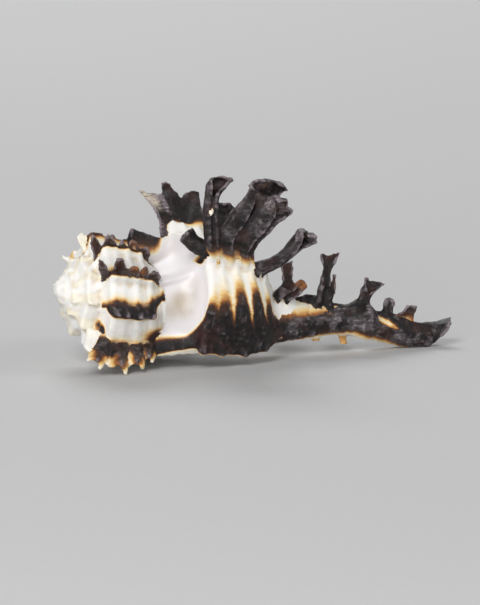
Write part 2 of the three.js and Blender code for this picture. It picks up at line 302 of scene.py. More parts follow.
def stained(turn, share):
    """How much yellow dirt and painted groove shade lies on the coil, from 0 to 1."""
    angle = turn * 360 + LIP_ANGLE
    # yellow painted shade in the grooves between the cords of the older wall
    amount = GROOVE_SHADE * ease(0.5, 0.0, cord_relief(turn, share)) * ease(0.05, 0.5, share)
    amount = amount * ease(285, 305, angle) * ease(480, 380, angle)
    for spot in STAINS:
        amount = np.maximum(amount, spot.strength * ease(1.7, 0.1, off_spot(spot, angle, share)))
    return amount


print("dirt along the last hollow:",
      [round(float(stained(turn_of(angle), -0.55)), 2) for angle in (-10, 9, 30, 50)])

# %% [markdown]
# ## A strip of mesh to sweep everything with
#
# The coil, the canal and every spine have the same make-up: closed rings of points, one after
# another, with the ends shut. One function turns such rings into a mesh. It keeps, for each
# point, the numbers that the finish needs: the depth of colour, how bare and smooth the shell
# is, two lengths, one across the fine growth lines and one along them, how chalky it is worn,
# and how much dirt and painted shade in grooves lies on it.

# %% Make a closed mesh from rings
Source = namedtuple("Source", "points faces notes")
# the note of stains holds yellow dirt, painted shade in the coil's grooves, and a spine's bleached
# share
NOTES = ("depth", "smooth", "across", "along", "chalk", "stain")


def swept(rings, **notes):
    """A closed mesh through equal rings, with a note per point of each ring."""
    rings = np.asarray(rings, dtype=float)
    count, around = rings.shape[:2]
    start = (np.arange(count - 1) * around)[:, None]
    here = np.arange(around)[None, :]
    there = (here + 1) % around
    near, far = start + here, start + there
    walls = np.stack([near, far, far + around, near + around], axis=-1).reshape(-1, 4)
    faces = np.concatenate([walls[:, [0, 1, 2]], walls[:, [0, 2, 3]]])
    centres = np.stack([rings[0].mean(axis=0), rings[-1].mean(axis=0)])
    first, last = count * around, count * around + 1
    end = (count - 1) * around
    here, there = here[0], there[0]
    shut_start = np.stack([np.full(around, first), there, here], axis=-1)
    shut_end = np.stack([np.full(around, last), end + here, end + there], axis=-1)
    points = np.concatenate([rings.reshape(-1, 3), centres])
    kept = {}
    for name in NOTES:
        values = np.broadcast_to(notes.get(name, 0.0), (count, around))
        kept[name] = np.concatenate([values.ravel(), [values[0].mean(), values[-1].mean()]])
    return Source(points, np.concatenate([faces, shut_start, shut_end]), kept)


def through(knots, count):
    """A smooth curve of count points through a few knots, evenly by knot."""
    knots = np.asarray(knots, dtype=float)
    padded = np.concatenate([2 * knots[:1] - knots[1:2], knots, 2 * knots[-1:] - knots[-2:-1]])
    place = np.linspace(0, len(knots) - 1, count)
    first = np.minimum(place.astype(int), len(knots) - 2)
    t = (place - first).reshape((-1,) + (1,) * (knots.ndim - 1))
    a, b, c, d = (padded[first + i] for i in range(4))
    bent = (2 * a - 5 * b + 4 * c - d) * t**2 + (3 * b - a - 3 * c + d) * t**3
    return 0.5 * (2 * b + (c - a) * t + bent)


sources = []

# %% [markdown]
# ## The coil
#
# The section of one whorl starts on the older wall above, crosses the hollow, turns over the
# shoulder and runs down the corded wall to the base. Sweeping it back through four and a half
# turns gives the body and the spire in one go. In the hollow the growth lines lean forwards,
# because there the lip climbed to the spire ahead of the rest.

# %% Draw the section of a whorl
HOLLOW_POINTS = 26
WALL_POINTS = 90
HOLLOW_LEAN = 18
FIN_HEIGHT = 2.4
RIB_HEIGHT = 0.85


def whorl_section(turn):
    """x, r, lean, share of one section; the share runs -1 to 0 over the hollow, then 0 to 1."""
    radius = shoulder_radius(turn)
    size = radius / LIP_RADIUS
    top, length = shoulder_at(turn), wall_length(turn)
    start = hollow_start(turn) - 0.7 * risen(turn, "fin")
    old_wall = wall_radius(turn + 1, (start - shoulder_at(turn + 1)) / wall_length(turn + 1))

    hollow = np.linspace(0, 1, HOLLOW_POINTS, endpoint=False)
    bend = np.pi / 2 * hollow
    fin = risen(turn, "fin") * FIN_HEIGHT * size * (1 - 0.95 * hollow**1.1)
    hollow_x = mix(start, top, np.sin(bend))
    hollow_r = mix(old_wall - 0.35 * size, radius, 1 - np.cos(bend)) + fin
    hollow_lean = HOLLOW_LEAN * (1 - hollow) ** 1.5

    wall = np.linspace(0, 1, WALL_POINTS)
    relief = cord_relief(turn, wall)
    uncovered = ease(0.72, 0.52, wall) if turn > 0.95 else 1 - 0.5 * wall
    rib = RIB_HEIGHT * size * risen(turn, "rib") * uncovered * (0.85 + 0.3 * relief)
    cords = CORD_HEIGHT * size**0.5 * relief * ease(1.0, 0.9, wall)
    wall_r = wall_radius(turn, wall) + rib + cords

    x = np.concatenate([[start], hollow_x, top + 0.97 * wall * length, [top + length]])
    r = np.concatenate([[0.4 * radius], hollow_r, wall_r, [0.3 * radius]])
    lean = np.concatenate([[HOLLOW_LEAN], hollow_lean, np.zeros(WALL_POINTS + 1)])
    share = np.concatenate([[-1], hollow - 1, wall, [1]])
    return x, r, lean, share


print("points of a section:", len(whorl_section(0.5)[0]))

# %% Sweep the coil
SPIRE_TURNS = 4.6
DEGREES_PER_RING = 1.0
PILLAR_SIDES = 48


def coil():
    """The body and the spire, swept backwards from the lip to the apex."""
    rings, depths, smooths, acrosses, alongs, stains = [], [], [], [], [], []
    grown = 0.0
    for angle in np.arange(0, 360 * SPIRE_TURNS, DEGREES_PER_RING):
        turn = angle / 360
        x, r, lean, share = whorl_section(turn)
        rings.append(on_coil(x, r, LIP_ANGLE + angle - lean))
        depths.append(coil_depth(turn, share))
        smooth_share = ease(0.05, -0.12, share) * (1 - 0.7 * ease(0.4, 1.0, risen(turn, "fin")))
        smooths.append(smooth_share * ease(1.15, 0.85, turn))
        grown += spiral_radius(turn) * math.radians(DEGREES_PER_RING)
        acrosses.append(np.full(len(x), grown) - np.radians(lean) * r)
        alongs.append(share * wall_length(turn))
        stains.append(stained(turn, share))
    return swept(
        rings, depth=depths, smooth=smooths, across=acrosses, along=alongs, stain=stains
    )


def pillar():
    """The solid axis inside the coil, so that no closed room is left there.

    Its end shows at the root of the canal, and on the far side it darkens towards the canal.
    """
    profile = [(0.1, 0.5), (2.6, 3.1), (5, 3.9), (15, 3.9), (22, 3.2), (27.5, 2.9), (29.5, 2.2)]
    profile = through(profile, 90)
    around = np.linspace(0, 360, PILLAR_SIDES, endpoint=False)
    far_side = ease(55, 115, 180 - np.abs(180 - around))
    depths = [mix(-2.0, 1.4, ease(25.0, 28.6, x) * far_side) for x, _ in profile]
    acrosses = [np.full(PILLAR_SIDES, x) for x, _ in profile]
    alongs = [np.radians(around) * r for _, r in profile]
    rings = [on_coil(x, r, -around) for x, r in profile]
    return swept(rings, depth=depths, across=acrosses, along=alongs)


sources += [coil(), pillar()]
print("coil:", len(sources[0].points), "points")

# %% [markdown]
# ## The canal
#
# Below the body the shell draws out into a narrow tube, a little crooked, cut off at a slant.
# Its upper side carries a low keel that the canal's spines stand on. The lip's outer layer runs
# along its front and ends in a thick rough edge. Each is a chain of round sections through a
# few places on its middle line, and the keel is a chain of narrow ones.

# %% Make a tube through a few stations
# a place on the tube's middle line in the coil's space, and the tube's radius there
Station = namedtuple("Station", "x r angle radius")
TUBE_SIDES = 44
TUBE_RINGS = 110


def tube(stations, depth_at, slant, chalk):
    """A round tube. depth_at gives the colour's depth from x and the angle round the tube.

    slant is how obliquely its end is cut off.
    """
    centres = through([on_coil(s.x, s.r, s.angle) for s in stations], TUBE_RINGS)
    radii = through([s.radius for s in stations], TUBE_RINGS)
    around = np.linspace(0, 2 * np.pi, TUBE_SIDES, endpoint=False)
    out, up = np.cos(around), np.sin(around)
    made, depths, acrosses, alongs = [], [], [], []
    for i, (centre, radius) in enumerate(zip(centres, radii)):
        tilt = slant * max(0, i / (TUBE_RINGS - 1) - 0.9) * 10
        offset = np.stack([tilt * up * radius, -out * radius, up * radius], axis=-1)
        made.append(centre + offset)
        depths.append(depth_at(centre[0] + offset[:, 0], np.degrees(around)))
        acrosses.append(np.full(TUBE_SIDES, centre[0]))
        alongs.append(around * radius)
    return swept(made, depth=depths, across=acrosses, along=alongs, chalk=chalk)


print("a tube has", TUBE_RINGS, "rings of", TUBE_SIDES, "points")

# %% Colour the canal and the lip's layer
def turned(degrees):
    """An angle brought to between -180 and 180."""
    return (degrees + 180) % 360 - 180


def canal_depth(x, angle):
    """Dark all round, but for pale stripes: a wide one in front that runs out, and a thin one."""
    top = np.interp(x, [27, 29, 32.5, 35, 36.5], [68, 80, 80, 58, 38])
    bottom = np.interp(x, [27, 30, 33, 36.5], [12, 16, 27, 38])
    stripe = np.maximum((turned(angle) - top) * 0.05, (bottom - turned(angle)) * 0.03)
    stripe = stripe + 1.5 * ease(35.5, 37.5, x)
    left = ease(44.5, 41.5, x)
    thin_middle = mix(30, 2, ease(39.5, 44, x))
    thin = (np.abs(turned(angle - thin_middle)) - 12 * left) * 0.08 + 1.2 * (1 - left)
    thin = np.where(x > 39.4, thin, 2)
    behind = (np.abs(turned(angle - 138)) - 24) * 0.04 + 0.15 * np.maximum(x - 30, 0)
    underneath = (np.abs(turned(angle + 108)) - 58) * 0.04 + ease(40, 46, x)
    return np.clip(np.minimum.reduce([stripe, thin, behind, underneath]), -1.7, 1.6)


def layer_depth(x, angle):
    """The layer is dark, but for its lower edge."""
    return np.clip((np.abs(turned(angle + 108)) - 56) * 0.04 + ease(33, 29, x), -1.2, 1.5)


print("depth round the canal at x = 32 mm:", canal_depth(32.0, np.arange(0, 360, 90)).round(1))

# %% Draw out the canal
canal = tube(
    [
        Station(22, 0, 0, 2.9),
        Station(27, 0.7, -80, 2.9),
        Station(31, 0.45, -75, 2.2),
        Station(35, 0.1, 90, 1.8),
        Station(39, 0.05, 90, 1.75),
        Station(42.5, 0.3, -90, 1.75),
        Station(45.4, 0.7, -90, 1.5),
        Station(47.2, 0.55, -90, 1.5),
        Station(49.0, 0.1, 90, 1.8),
    ],
    canal_depth,
    slant=0.68,
    chalk=0.9,
)
lip_layer = tube(
    [
        Station(23.0, 3.0, -60, 1.9),
        Station(27.0, 2.5, -50, 1.55),
        Station(30.0, 1.85, -45, 1.5),
        Station(33.2, 0.9, -35, 1.6),
        Station(36.0, 0.7, 10, 1.7),
        Station(37.2, 1.1, 20, 1.9),
        Station(38.3, 1.3, 15, 2.15),
        Station(39.3, 1.2, 5, 2.0),
        Station(39.8, 0.9, 0, 1.3),
    ],
    layer_depth,
    slant=0.2,
    chalk=0.8,
)
sources += [canal, lip_layer]
canal_x = canal.points[:, 0]
print("canal from x =", canal_x.min().round(1), "to", canal_x.max().round(1), "mm")

# %% Raise the keel on the canal
# x and height of the crest over the axis
KEEL = [(27.5, 2.6), (29.7, 2.45), (32, 2.9), (34.3, 2.15), (36.3, 2.15), (39.2, 1.95), (42.3, 1.6)]
KEEL_ANGLE = 68


def keel():
    """A low narrow ridge with a round crest."""
    path = through(KEEL, 60)
    half = np.array([0.75, 0.5, 0.22, 0.0, -0.22, -0.5, -0.75])
    low = np.array([0.0, 0.6, 0.93, 1.0, 0.93, 0.6, 0.0])
    rings = []
    for x, height in path:
        r = mix(0.5, height, low)
        rings.append(on_coil(x, r, KEEL_ANGLE + np.degrees(half / np.maximum(r, 0.8))))
    across = np.repeat(path[:, :1], len(half), axis=1)
    return swept(rings, depth=1.2, across=across)


sources.append(keel())
print("keel:", len(sources[-1].points), "points")

# %% [markdown]
# ## A spine
#
# The snail makes a spine by folding the edge of its mantle into a gutter that stands off the
# lip. So a spine is a curled plate: nearly closed along its shaft, with a narrow seam on the
# side the shell grew towards, and opening at its end into a frilled head.
#
# It could be a cone with its end cut up, but then the seam and the web-like head would be
# missing, and those are what this kind of murex is known for. Here two edges are drawn, left
# and right. A curled section is stretched between them from foot to head, the curl opens on the
# way, and the fingers of the frill are pushed out or held back along the end.

# %% Curl a plate into a spine
SPINE_RINGS = 44
SECTION_POINTS = 21
FLAT_CREST = (0, 0)
RAGGED = np.random.default_rng(11)


def spine(left, right, closed=160, opened=75, opens_at=0.62, seam=0, flatten=0.62, wall=0.42,
          fingers=FLAT_CREST, rim=0.0, depth=1.6, tip_depth=None, rim_depth=None, foot_depth=None,
          pale_foot=1.6, tip_from=0.5, chalk=0.15, bleached=0.0):
    """A gutter between two edges, given as places from foot to head in the coil's space.

    closed and opened are how far round the plate curls at the shaft and at the head, in degrees
    to each side, and seam turns its open side towards the right edge. fingers are how far the
    frill's points stand out along the end, from left to right. rim is how far the end bends
    over to the open side. depth is how dark the spine is, tip_depth its head, rim_depth the
    flanks of its head and foot_depth where it leaves the wall, for pale_foot mm. The head's
    colour begins at tip_from. chalk is how worn the head is, and bleached how pale the sun made
    the left half of its head.
    """
    left, right = list(np.asarray(left)), list(np.asarray(right))
    outwards = unit(left[-1] + right[-1] - left[-2] - right[-2])
    if rim:
        middle = (left[-1] + right[-1]) / 2
        over = unit(np.array([0, -middle[2], middle[1]]))
        for edge in (left, right):
            edge.append(edge[-1] + rim * (0.9 * over + 0.4 * outwards))
    left, right = through(left, SPINE_RINGS), through(right, SPINE_RINGS)
    middle = (left + right) / 2
    width = np.linalg.norm(right - left, axis=1)[:, None]
    sideways = unit(right - left)
    lengthways = unit(np.gradient(middle, axis=0))
    older = np.stack([np.zeros(SPINE_RINGS), middle[:, 2], -middle[:, 1]], axis=-1)
    facing = unit(np.cross(sideways, lengthways))
    front = facing * (1.0 if (facing[2] * older[2]).sum() < 0 else -1.0)

    # the curl, from a closed shaft to an open head
    reach = np.linspace(0, 1, SPINE_RINGS)[:, None]
    curl = np.radians(mix(closed, opened, ease(opens_at, 1.0, reach)))
    side = np.linspace(-1, 1, SECTION_POINTS)[None, :]
    turn_out = np.where(curl < np.pi / 2, np.sin(np.minimum(curl, np.pi / 2)), 1.0)
    waves = through(RAGGED.uniform(0.95, 1.06, 9), SPINE_RINGS)[:, None]
    half = width / 2 / turn_out * waves
    thinned = mix(half * 0.95, wall * mix(1.0, 0.8, reach), ease(0.02, 0.3, reach))
    thick = np.minimum(thinned, half * 0.95)
    lift = flatten * half
    seam = math.radians(seam) * ease(1.0, 0.6, reach)
    bend = side * curl - seam
    outer_across, outer_front = half * np.sin(bend), lift * (1 - np.cos(bend))
    inner_across = (half - thick) * np.sin(bend)
    inner_front = lift - (lift - thick * flatten**0.5) * np.cos(bend)

    # below its opening the shaft is solid, and the seam is a wedge that reaches its middle
    hollow = ease(opens_at - 0.15, opens_at + 0.1, reach) if closed > 130 else 1.0
    inner_across = inner_across * hollow
    inner_front = mix(lift, inner_front, hollow)
    across = np.concatenate([outer_across, inner_across[:, ::-1]], axis=1)
    forward = np.concatenate([outer_front, inner_front[:, ::-1]], axis=1) - lift * 0.8

    # the frill at the end
    both_sides = np.concatenate([side, side[:, ::-1]], axis=1)
    frill = np.interp(both_sides[0], np.linspace(-1, 1, len(fingers)), fingers)
    torn = RAGGED.uniform(-0.14, 0.14, SECTION_POINTS)
    torn = np.concatenate([torn, torn[::-1]])
    push = frill[None, :] * ease(0.2, 1.0, reach) + torn * ease(0.85, 1.0, reach)
    rings = (
        middle[:, None]
        + sideways[:, None] * across[:, :, None]
        + front[:, None] * forward[:, :, None]
        + push[:, :, None] * outwards
    )
    length = np.linalg.norm(np.diff(middle, axis=0), axis=1).sum()
    head = ease(tip_from, 0.9, reach)
    tone = mix(depth, depth if tip_depth is None else tip_depth, head)
    if rim_depth is not None:
        tone = mix(tone, rim_depth, head * np.abs(both_sides) ** 1.3)
    if foot_depth is not None:
        tone = mix(foot_depth, tone, ease(0.0, pale_foot, reach * length))
    return swept(
        rings, depth=tone, across=both_sides * half, along=reach * length,
        chalk=chalk * mix(0.35, 1.0, head), stain=bleached * head * ease(0.8, -0.3, both_sides)
    )


print("a spine has", SPINE_RINGS, "rings of", 2 * SECTION_POINTS, "points")

# %% Lay out the two edges of a spine
FOOT_SINK = 0.9


def edges(places, foot_angle=None):
    """Left and right edges from places (angle, left x, left r, right x, right r), foot first.

    With a foot angle both edges first start inside the whorl's wall.
    """
    left = [on_coil(x, r, angle) for angle, x, r, _, _ in places]
    right = [on_coil(x, r, angle) for angle, _, _, x, r in places]
    if foot_angle is not None:
        turn = turn_of(foot_angle)
        for side, x in ((left, places[0][1]), (right, places[0][3])):
            share = (x - shoulder_at(turn)) / wall_length(turn)
            side.insert(0, on_coil(x, float(wall_radius(turn, share)) - FOOT_SINK, foot_angle))
    return left, right


print("a foot at 38 degrees starts at", edges([(42, 20, 9, 21, 9)], 38)[0][0].round(2))

# %% [markdown]
# ## The front row
#
# Seven spines stand on the varix that faces the viewer, and they are the face of this shell.
# Each one is different: a stubby bent arm, a shaft with a hooked hood, a wide plate with a
# rolled rim, one with three ragged fingers. So each gets its own edges, as places on half
# planes round the axis, and its own frill.

# %% Grow the front row
FRONT_FOOT = 38
front_row = [
    # a stubby arm that leans to the spire
    spine(*edges([(40, 15.9, 9.3, 16.9, 7.4), (42, 15.1, 10.0, 15.6, 7.9),
                  (45, 13.6, 10.6, 13.4, 8.4), (48, 12.6, 11.4, 12.2, 9.2)], FRONT_FOOT),
          closed=168, opened=155, seam=25, flatten=0.8, fingers=(-0.5, 0.2, 0.45, 0.3, 0.1),
          foot_depth=-1.2, pale_foot=3.2),
    # a straight shaft with a flared cup that points to the right
    spine(*edges([(39.5, 15.5, 9.0, 17.0, 9.3), (41, 14.0, 11.0, 15.9, 11.6),
                  (45.4, 13.43, 12.55, 15.33, 12.85), (49.75, 12.87, 14.5, 14.67, 14.6),
                  (53.4, 12.93, 15.36, 14.93, 15.36), (56.2, 13.1, 16.0, 15.7, 16.1),
                  (58.4, 13.5, 16.4, 16.4, 16.7)], FRONT_FOOT),
          closed=164, opened=95, opens_at=0.62, seam=5, flatten=0.7,
          fingers=(0.0, 0.15, 0.0, 0.1, 0.35), rim=0.1,
          foot_depth=-1.6, pale_foot=4.4, chalk=0.3),
    # a wide plate with its gutter to the right and a bent rim
    spine(*edges([(39.5, 17.2, 9.0, 19.3, 9.2), (41, 15.9, 11.4, 18.4, 11.5),
                  (44.8, 15.65, 12.93, 18.85, 12.53), (49.8, 16.79, 14.87, 19.89, 14.47),
                  (53.7, 17.75, 15.74, 20.95, 15.24), (56.3, 18.3, 16.3, 22.3, 15.6),
                  (58.7, 19.0, 16.4, 23.8, 15.6)], FRONT_FOOT),
          closed=150, opened=42, opens_at=0.45, seam=45, flatten=0.5, wall=0.6,
          fingers=(0.1, 0.3, 0.35, 0.25, 0.1, -0.1, -0.6), rim=0.4,
          foot_depth=-1.6, pale_foot=4.5, chalk=0.8),
    # one with three ragged fingers
    spine(*edges([(39.5, 19.6, 8.8, 21.3, 8.6), (41, 18.6, 10.6, 20.6, 10.4),
                  (43, 18.6, 12.4, 20.9, 11.7), (47.5, 19.57, 14.1, 22.07, 13.0),
                  (51.3, 20.45, 15.14, 23.15, 13.54), (54, 21.2, 16.0, 24.3, 13.8)], FRONT_FOOT),
          closed=155, opened=75, opens_at=0.65, seam=35, flatten=0.6,
          fingers=(-0.2, 0.5, -0.6, 0.4, -0.4, 0.5, 0.2), rim=0.35,
          foot_depth=-1.6, pale_foot=4.3, chalk=2.0),
    # one with a forked head and a deep middle groove
    spine(*edges([(39, 21.5, 8.5, 23.2, 7.1), (42, 23.2, 9.1, 24.7, 7.9),
                  (46, 24.6, 10.1, 25.9, 8.9), (50, 25.4, 11.1, 27.1, 9.8),
                  (53, 25.8, 12.0, 28.8, 10.2)], FRONT_FOOT),
          closed=155, opened=80, opens_at=0.5, seam=35, flatten=0.7, wall=0.35,
          fingers=(0.6, -0.1, 0.2, -0.5, 0.3, 0.0, 0.6), rim=0.2, chalk=0.9),
    # a thin brown plate on the root of the canal
    spine(*edges([(48, 27.0, 2.0, 28.9, 2.0), (50, 26.9, 4.1, 28.6, 4.1),
                  (56, 26.7, 5.3, 28.2, 5.5), (60, 26.2, 6.4, 27.9, 7.1)]),
          closed=70, opened=50, flatten=0.5, wall=0.5, depth=0.8, tip_depth=0.5,
          fingers=(-0.2, 0.1, -0.1, 0.2)),
    # a short finger with an orange tip
    spine(*edges([(42, 26.2, 3.0, 27.8, 1.4), (46, 26.8, 4.3, 28.4, 2.7),
                  (50, 27.9, 4.3, 29.3, 3.3), (54, 29.0, 5.1, 30.2, 4.5)]),
          closed=150, opened=130, flatten=0.85, wall=0.6, depth=1.3, tip_depth=0.2,
          fingers=(-0.2, 0.1, -0.1)),
]
sources += front_row
print("front row:", len(front_row), "spines; parts so far:", len(sources))

# %% Chip the second spine
CHIP_SIDES = 14


def chip(place, long, wide, turned_by):
    """A small pale scar: a flat lens that lies on a spine. long and wide are half its size."""
    middle = on_coil(*place)
    out = unit(middle * [0, 1, 1])
    slope = np.array([math.cos(turned_by), 0, 0]) + np.cross(out, [1, 0, 0]) * math.sin(turned_by)
    across = np.cross(out, slope)
    around = np.linspace(0, 2 * np.pi, CHIP_SIDES, endpoint=False)
    rings = [
        middle + slope * long * at + math.sqrt(1.02 - at * at) * wide
        * (across * np.cos(around)[:, None] + out * np.sin(around)[:, None] * 0.6)
        for at in np.linspace(-1, 1, 9)
    ]
    return swept(rings, depth=-1.0)


sources.append(chip((13.66, 14.57, 47.2), long=0.85, wide=0.27, turned_by=1.9))
print("chip:", len(sources[-1].points), "points")

# %% [markdown]
# ## The second row
#
# The next row stands behind the first, on the varix one quarter turn older. Two of its spines
# are joined by a web with a deep notch between their points, so they are one wide plate here.
# The blade beside them has lain in the sun, and the left half of its head is bleached.

# %% Grow the second row
BACK_FOOT = 105
second_row = [
    # a speckled blade that leans to the spire
    spine(*edges([(106, 13.2, 7.9, 15.3, 8.7), (109, 13.3, 9.5, 15.0, 10.3),
                  (112, 12.6, 11.5, 14.7, 11.9), (115, 11.5, 13.6, 14.5, 13.6)], BACK_FOOT),
          closed=85, opened=70, flatten=0.5, wall=0.7, fingers=(0.1, 0.1, 0.0, -0.1, -0.2),
          foot_depth=0.0, tip_depth=0.6, chalk=2.4, bleached=1.0),
    # two peaks joined by a web
    spine(*edges([(106, 14.2, 8.9, 19.3, 9.3), (109, 14.1, 10.4, 19.4, 10.8),
                  (112, 14.2, 12.3, 19.7, 12.4), (115, 14.9, 15.1, 19.8, 15.2)], BACK_FOOT),
          closed=60, opened=40, flatten=0.4, wall=1.3,
          fingers=(0.3, 0.1, -0.7, -1.4, -2.1, -2.8, -3.4, -2.6, -0.5, -0.2, -0.4),
          foot_depth=-2.1, pale_foot=5.6),
    # a small notched plate
    spine(*edges([(106, 19.0, 8.4, 22.4, 7.8), (110, 20.0, 10.2, 22.8, 10.0),
                  (113, 20.6, 11.6, 23.2, 11.4), (116, 21.2, 12.8, 24.0, 12.4)], BACK_FOOT),
          closed=120, opened=60, flatten=0.6, wall=0.6, fingers=(0.5, -0.1, -0.5, 0.2, -0.4, 0.2),
          rim=0.3),
]
sources += second_row
print("second row:", len(second_row), "plates; parts so far:", len(sources))

# %% [markdown]
# ## The spines that follow one pattern
#
# The far row, the canal's spines and the short scales of the spire are less individual. For
# these a foot, a tip and three widths are enough: the edges are laid out on both sides of a
# slightly bowed middle line, narrow at the waist and wide at the head.

# %% Lay out the edges of a plain spine
def plain_edges(foot, tip, base, head, bow=0.1, waist=None):
    """Edges from a foot and a tip (x, r, angle). base, head and waist are widths in mm."""
    start = on_coil(foot[0], foot[1] - FOOT_SINK, foot[2])
    end = on_coil(*tip)
    lengthways = unit(end - start)
    length = np.linalg.norm(end - start)
    angle = math.radians((foot[2] + tip[2]) / 2)
    older = np.array([0, math.sin(angle), math.cos(angle)])
    older = unit(older - lengthways * older.dot(lengthways))
    sideways = np.cross(lengthways, older)
    if waist is None:
        waist = min(0.75 * base, 0.4 * head + 0.5)
    widths = [base, mix(base, waist, 0.7), waist, waist * 1.05, head]
    left, right = [], []
    for at, width in zip((0, 0.2, 0.45, 0.7, 1), widths):
        middle = start + lengthways * at * length - older * bow * length * math.sin(math.pi * at)
        left.append(middle - sideways * width / 2)
        right.append(middle + sideways * width / 2)
    return left, right


def wall_place(angle, share):
    """x, r and angle of a place on the coil's wall."""
    turn = turn_of(angle)
    return shoulder_at(turn) + share * wall_length(turn), float(wall_radius(turn, share)), angle


print("place halfway down the wall at 170 degrees:", wall_place(170, 0.5))

# %% Grow the far row
# place down the wall, lean to the apex in degrees, length, width of the head
FAR_FOOT, FAR_TIP = 170, 182
FAR_ROW = [
    (0.06, 20, 5.3, 2.4),
    (0.22, 8, 7.8, 3.4),
    (0.43, -6, 8.1, 3.8),
    (0.64, -22, 7.4, 3.2),
    (0.84, -42, 6.0, 2.7),
]
FAR_BASE = 2.6
FRILLS = [
    (0.1, -0.5, 0.3, -0.4, 0.2),
    (0.2, -0.3, 0.2, -0.7, 0.3, 0.0),
    (0.0, 0.3, -0.5, 0.3, -0.6, 0.3),
]
for number, (share, lean, length, head) in enumerate(FAR_ROW):
    foot = wall_place(FAR_FOOT, share)
    lean = math.radians(lean)
    tip = (foot[0] - length * math.sin(lean), foot[1] + length * math.cos(lean), FAR_TIP)
    frill = FRILLS[number % len(FRILLS)]
    sources.append(spine(*plain_edges(foot, tip, FAR_BASE, head), opened=60, flatten=0.6,
                         fingers=frill, rim=0.3))
print("far row:", len(FAR_ROW), "spines")

# %% Grow the canal's upper spines
# those that show against the light, from the body to the canal's end
canal_spines = [
    spine(*edges([(56, 31.6, 1.4, 35.0, 1.0), (60, 31.9, 2.8, 34.2, 2.4),
                  (64, 32.0, 4.5, 33.6, 4.1), (68, 32.0, 6.3, 33.3, 6.0),
                  (72, 31.4, 7.7, 34.3, 8.2)]),
          closed=150, opened=60, flatten=0.6, fingers=(0.0, -0.35, -0.2, 0.2)),
    spine(*edges([(58, 33.7, 1.2, 34.9, 1.2), (62, 33.9, 2.1, 34.6, 2.1),
                  (68, 33.6, 4.0, 34.5, 4.0), (72, 33.6, 5.4, 34.4, 5.5)]),
          closed=80, opened=75, flatten=0.8, wall=0.7, depth=1.0, tip_depth=0.5),
    spine(*edges([(56, 35.8, 1.2, 39.8, 1.0), (60, 36.5, 2.0, 39.1, 2.3),
                  (64, 37.3, 3.3, 38.9, 3.4), (68, 37.6, 4.4, 39.6, 4.3),
                  (72, 37.8, 5.5, 41.0, 5.1)]),
          closed=165, opened=70, flatten=0.6, fingers=(0.1, -0.35, 0.0, 0.1, -0.2)),
    spine(*edges([(58, 40.3, 0.9, 42.8, 0.9), (62, 40.8, 1.6, 42.3, 1.6),
                  (66, 40.85, 2.6, 42.1, 2.7), (70, 40.9, 3.3, 42.1, 3.4)]),
          closed=165, opened=150, flatten=0.85, fingers=(-0.3, 0.15, -0.3)),
    spine(*edges([(62, 42.0, 0.6, 46.2, 0.2), (66, 42.7, 1.4, 45.5, 1.0),
                  (70, 43.6, 2.2, 45.4, 1.9), (74, 44.0, 2.9, 45.5, 2.7)]),
          closed=80, opened=70, flatten=0.5, wall=0.6, fingers=(-0.1, 0.1, 0.1),
          depth=0.3, tip_depth=0.9, foot_depth=-0.6),
    # the rough fold where the lip's outer layer ends
    spine(*edges([(80, 37.2, 1.7, 38.4, 1.6), (58, 37.9, 2.2, 39.1, 2.1),
                  (32, 38.5, 2.75, 39.8, 2.45), (4, 38.6, 2.95, 39.9, 2.6),
                  (-18, 38.3, 2.75, 39.6, 2.5), (-36, 37.8, 2.2, 39.1, 2.0)]),
          closed=80, opened=80, flatten=0.7, wall=0.9, fingers=(0.1, 0.0, 0.1), chalk=1.5),
]
sources += canal_spines
print("on the canal:", len(canal_spines), "spines; parts so far:", len(sources))

# %% Grow the canal's hidden spines
# those behind and underneath: foot and tip as x, distance from the axis and angle, and the
# width of the head
HIDDEN_CANAL_SPINES = [
    ((29.0, 2.6, 160), (32.5, 9.4, 172), 2.6),
    ((34.5, 2.0, 165), (37.8, 6.5, 174), 2.2),
    ((32.8, 2.0, -72), (33.0, 2.75, -74), 1.2),
    ((36.4, 2.0, -74), (36.7, 2.8, -76), 1.1),
]
HIDDEN_BASE = 1.8
LONG_STYLE = dict(fingers=FRILLS[0], rim=0.4, depth=1.5)
STUMP_STYLE = dict(depth=-0.2)
for foot, tip, head in HIDDEN_CANAL_SPINES:
    style = LONG_STYLE if tip[1] > 4 else STUMP_STYLE
    sources.append(spine(*plain_edges(foot, tip, HIDDEN_BASE, head), opened=65, **style))
print("hidden ones:", len(HIDDEN_CANAL_SPINES))

# %% [markdown]
# ## The scales of the spire
#
# On the older varices the spines are only short fluted scales, side by side like the cups of a
# gutter. They are made like the other spines, but wide and shallow, and their tips lean to the
# apex. The lowest row is the longest, crumpled and pale outside.

# %% Shape one scale
SCALE_STYLE = dict(closed=88, opened=80, opens_at=0.3, flatten=0.9, wall=0.45,
                   fingers=(-0.5, 0.1, 0.35, 0.1, -0.5))


def scale(angle, drop, lean, stand, older, base, head, **finish):
    """One fluted scale: its foot's drop below the shoulder, then how far its tip goes towards
    the apex, off the wall, and round to the older side in degrees."""
    foot = wall_place(angle, drop / wall_length(turn_of(angle)))
    tip = (foot[0] - lean, foot[1] + stand, angle + older)
    edges_of_scale = plain_edges(foot, tip, base, head, bow=0.05, waist=mix(base, head, 0.4))
    return spine(*edges_of_scale, **(SCALE_STYLE | finish))


print("a scale differs from a spine in", ", ".join(SCALE_STYLE))

# %% Grow the scales of the small varices
# drop, lean and stand of the scales down a varix, in mm
ROW_OF_SCALES = [
    (0.3, 2.2, 2.2),
    (1.7, 1.4, 2.6),
    (3.1, 1.0, 2.4),
    (4.5, 0.8, 2.1),
    (5.9, 0.6, 1.7),
]
SPIRE_FROM = 500
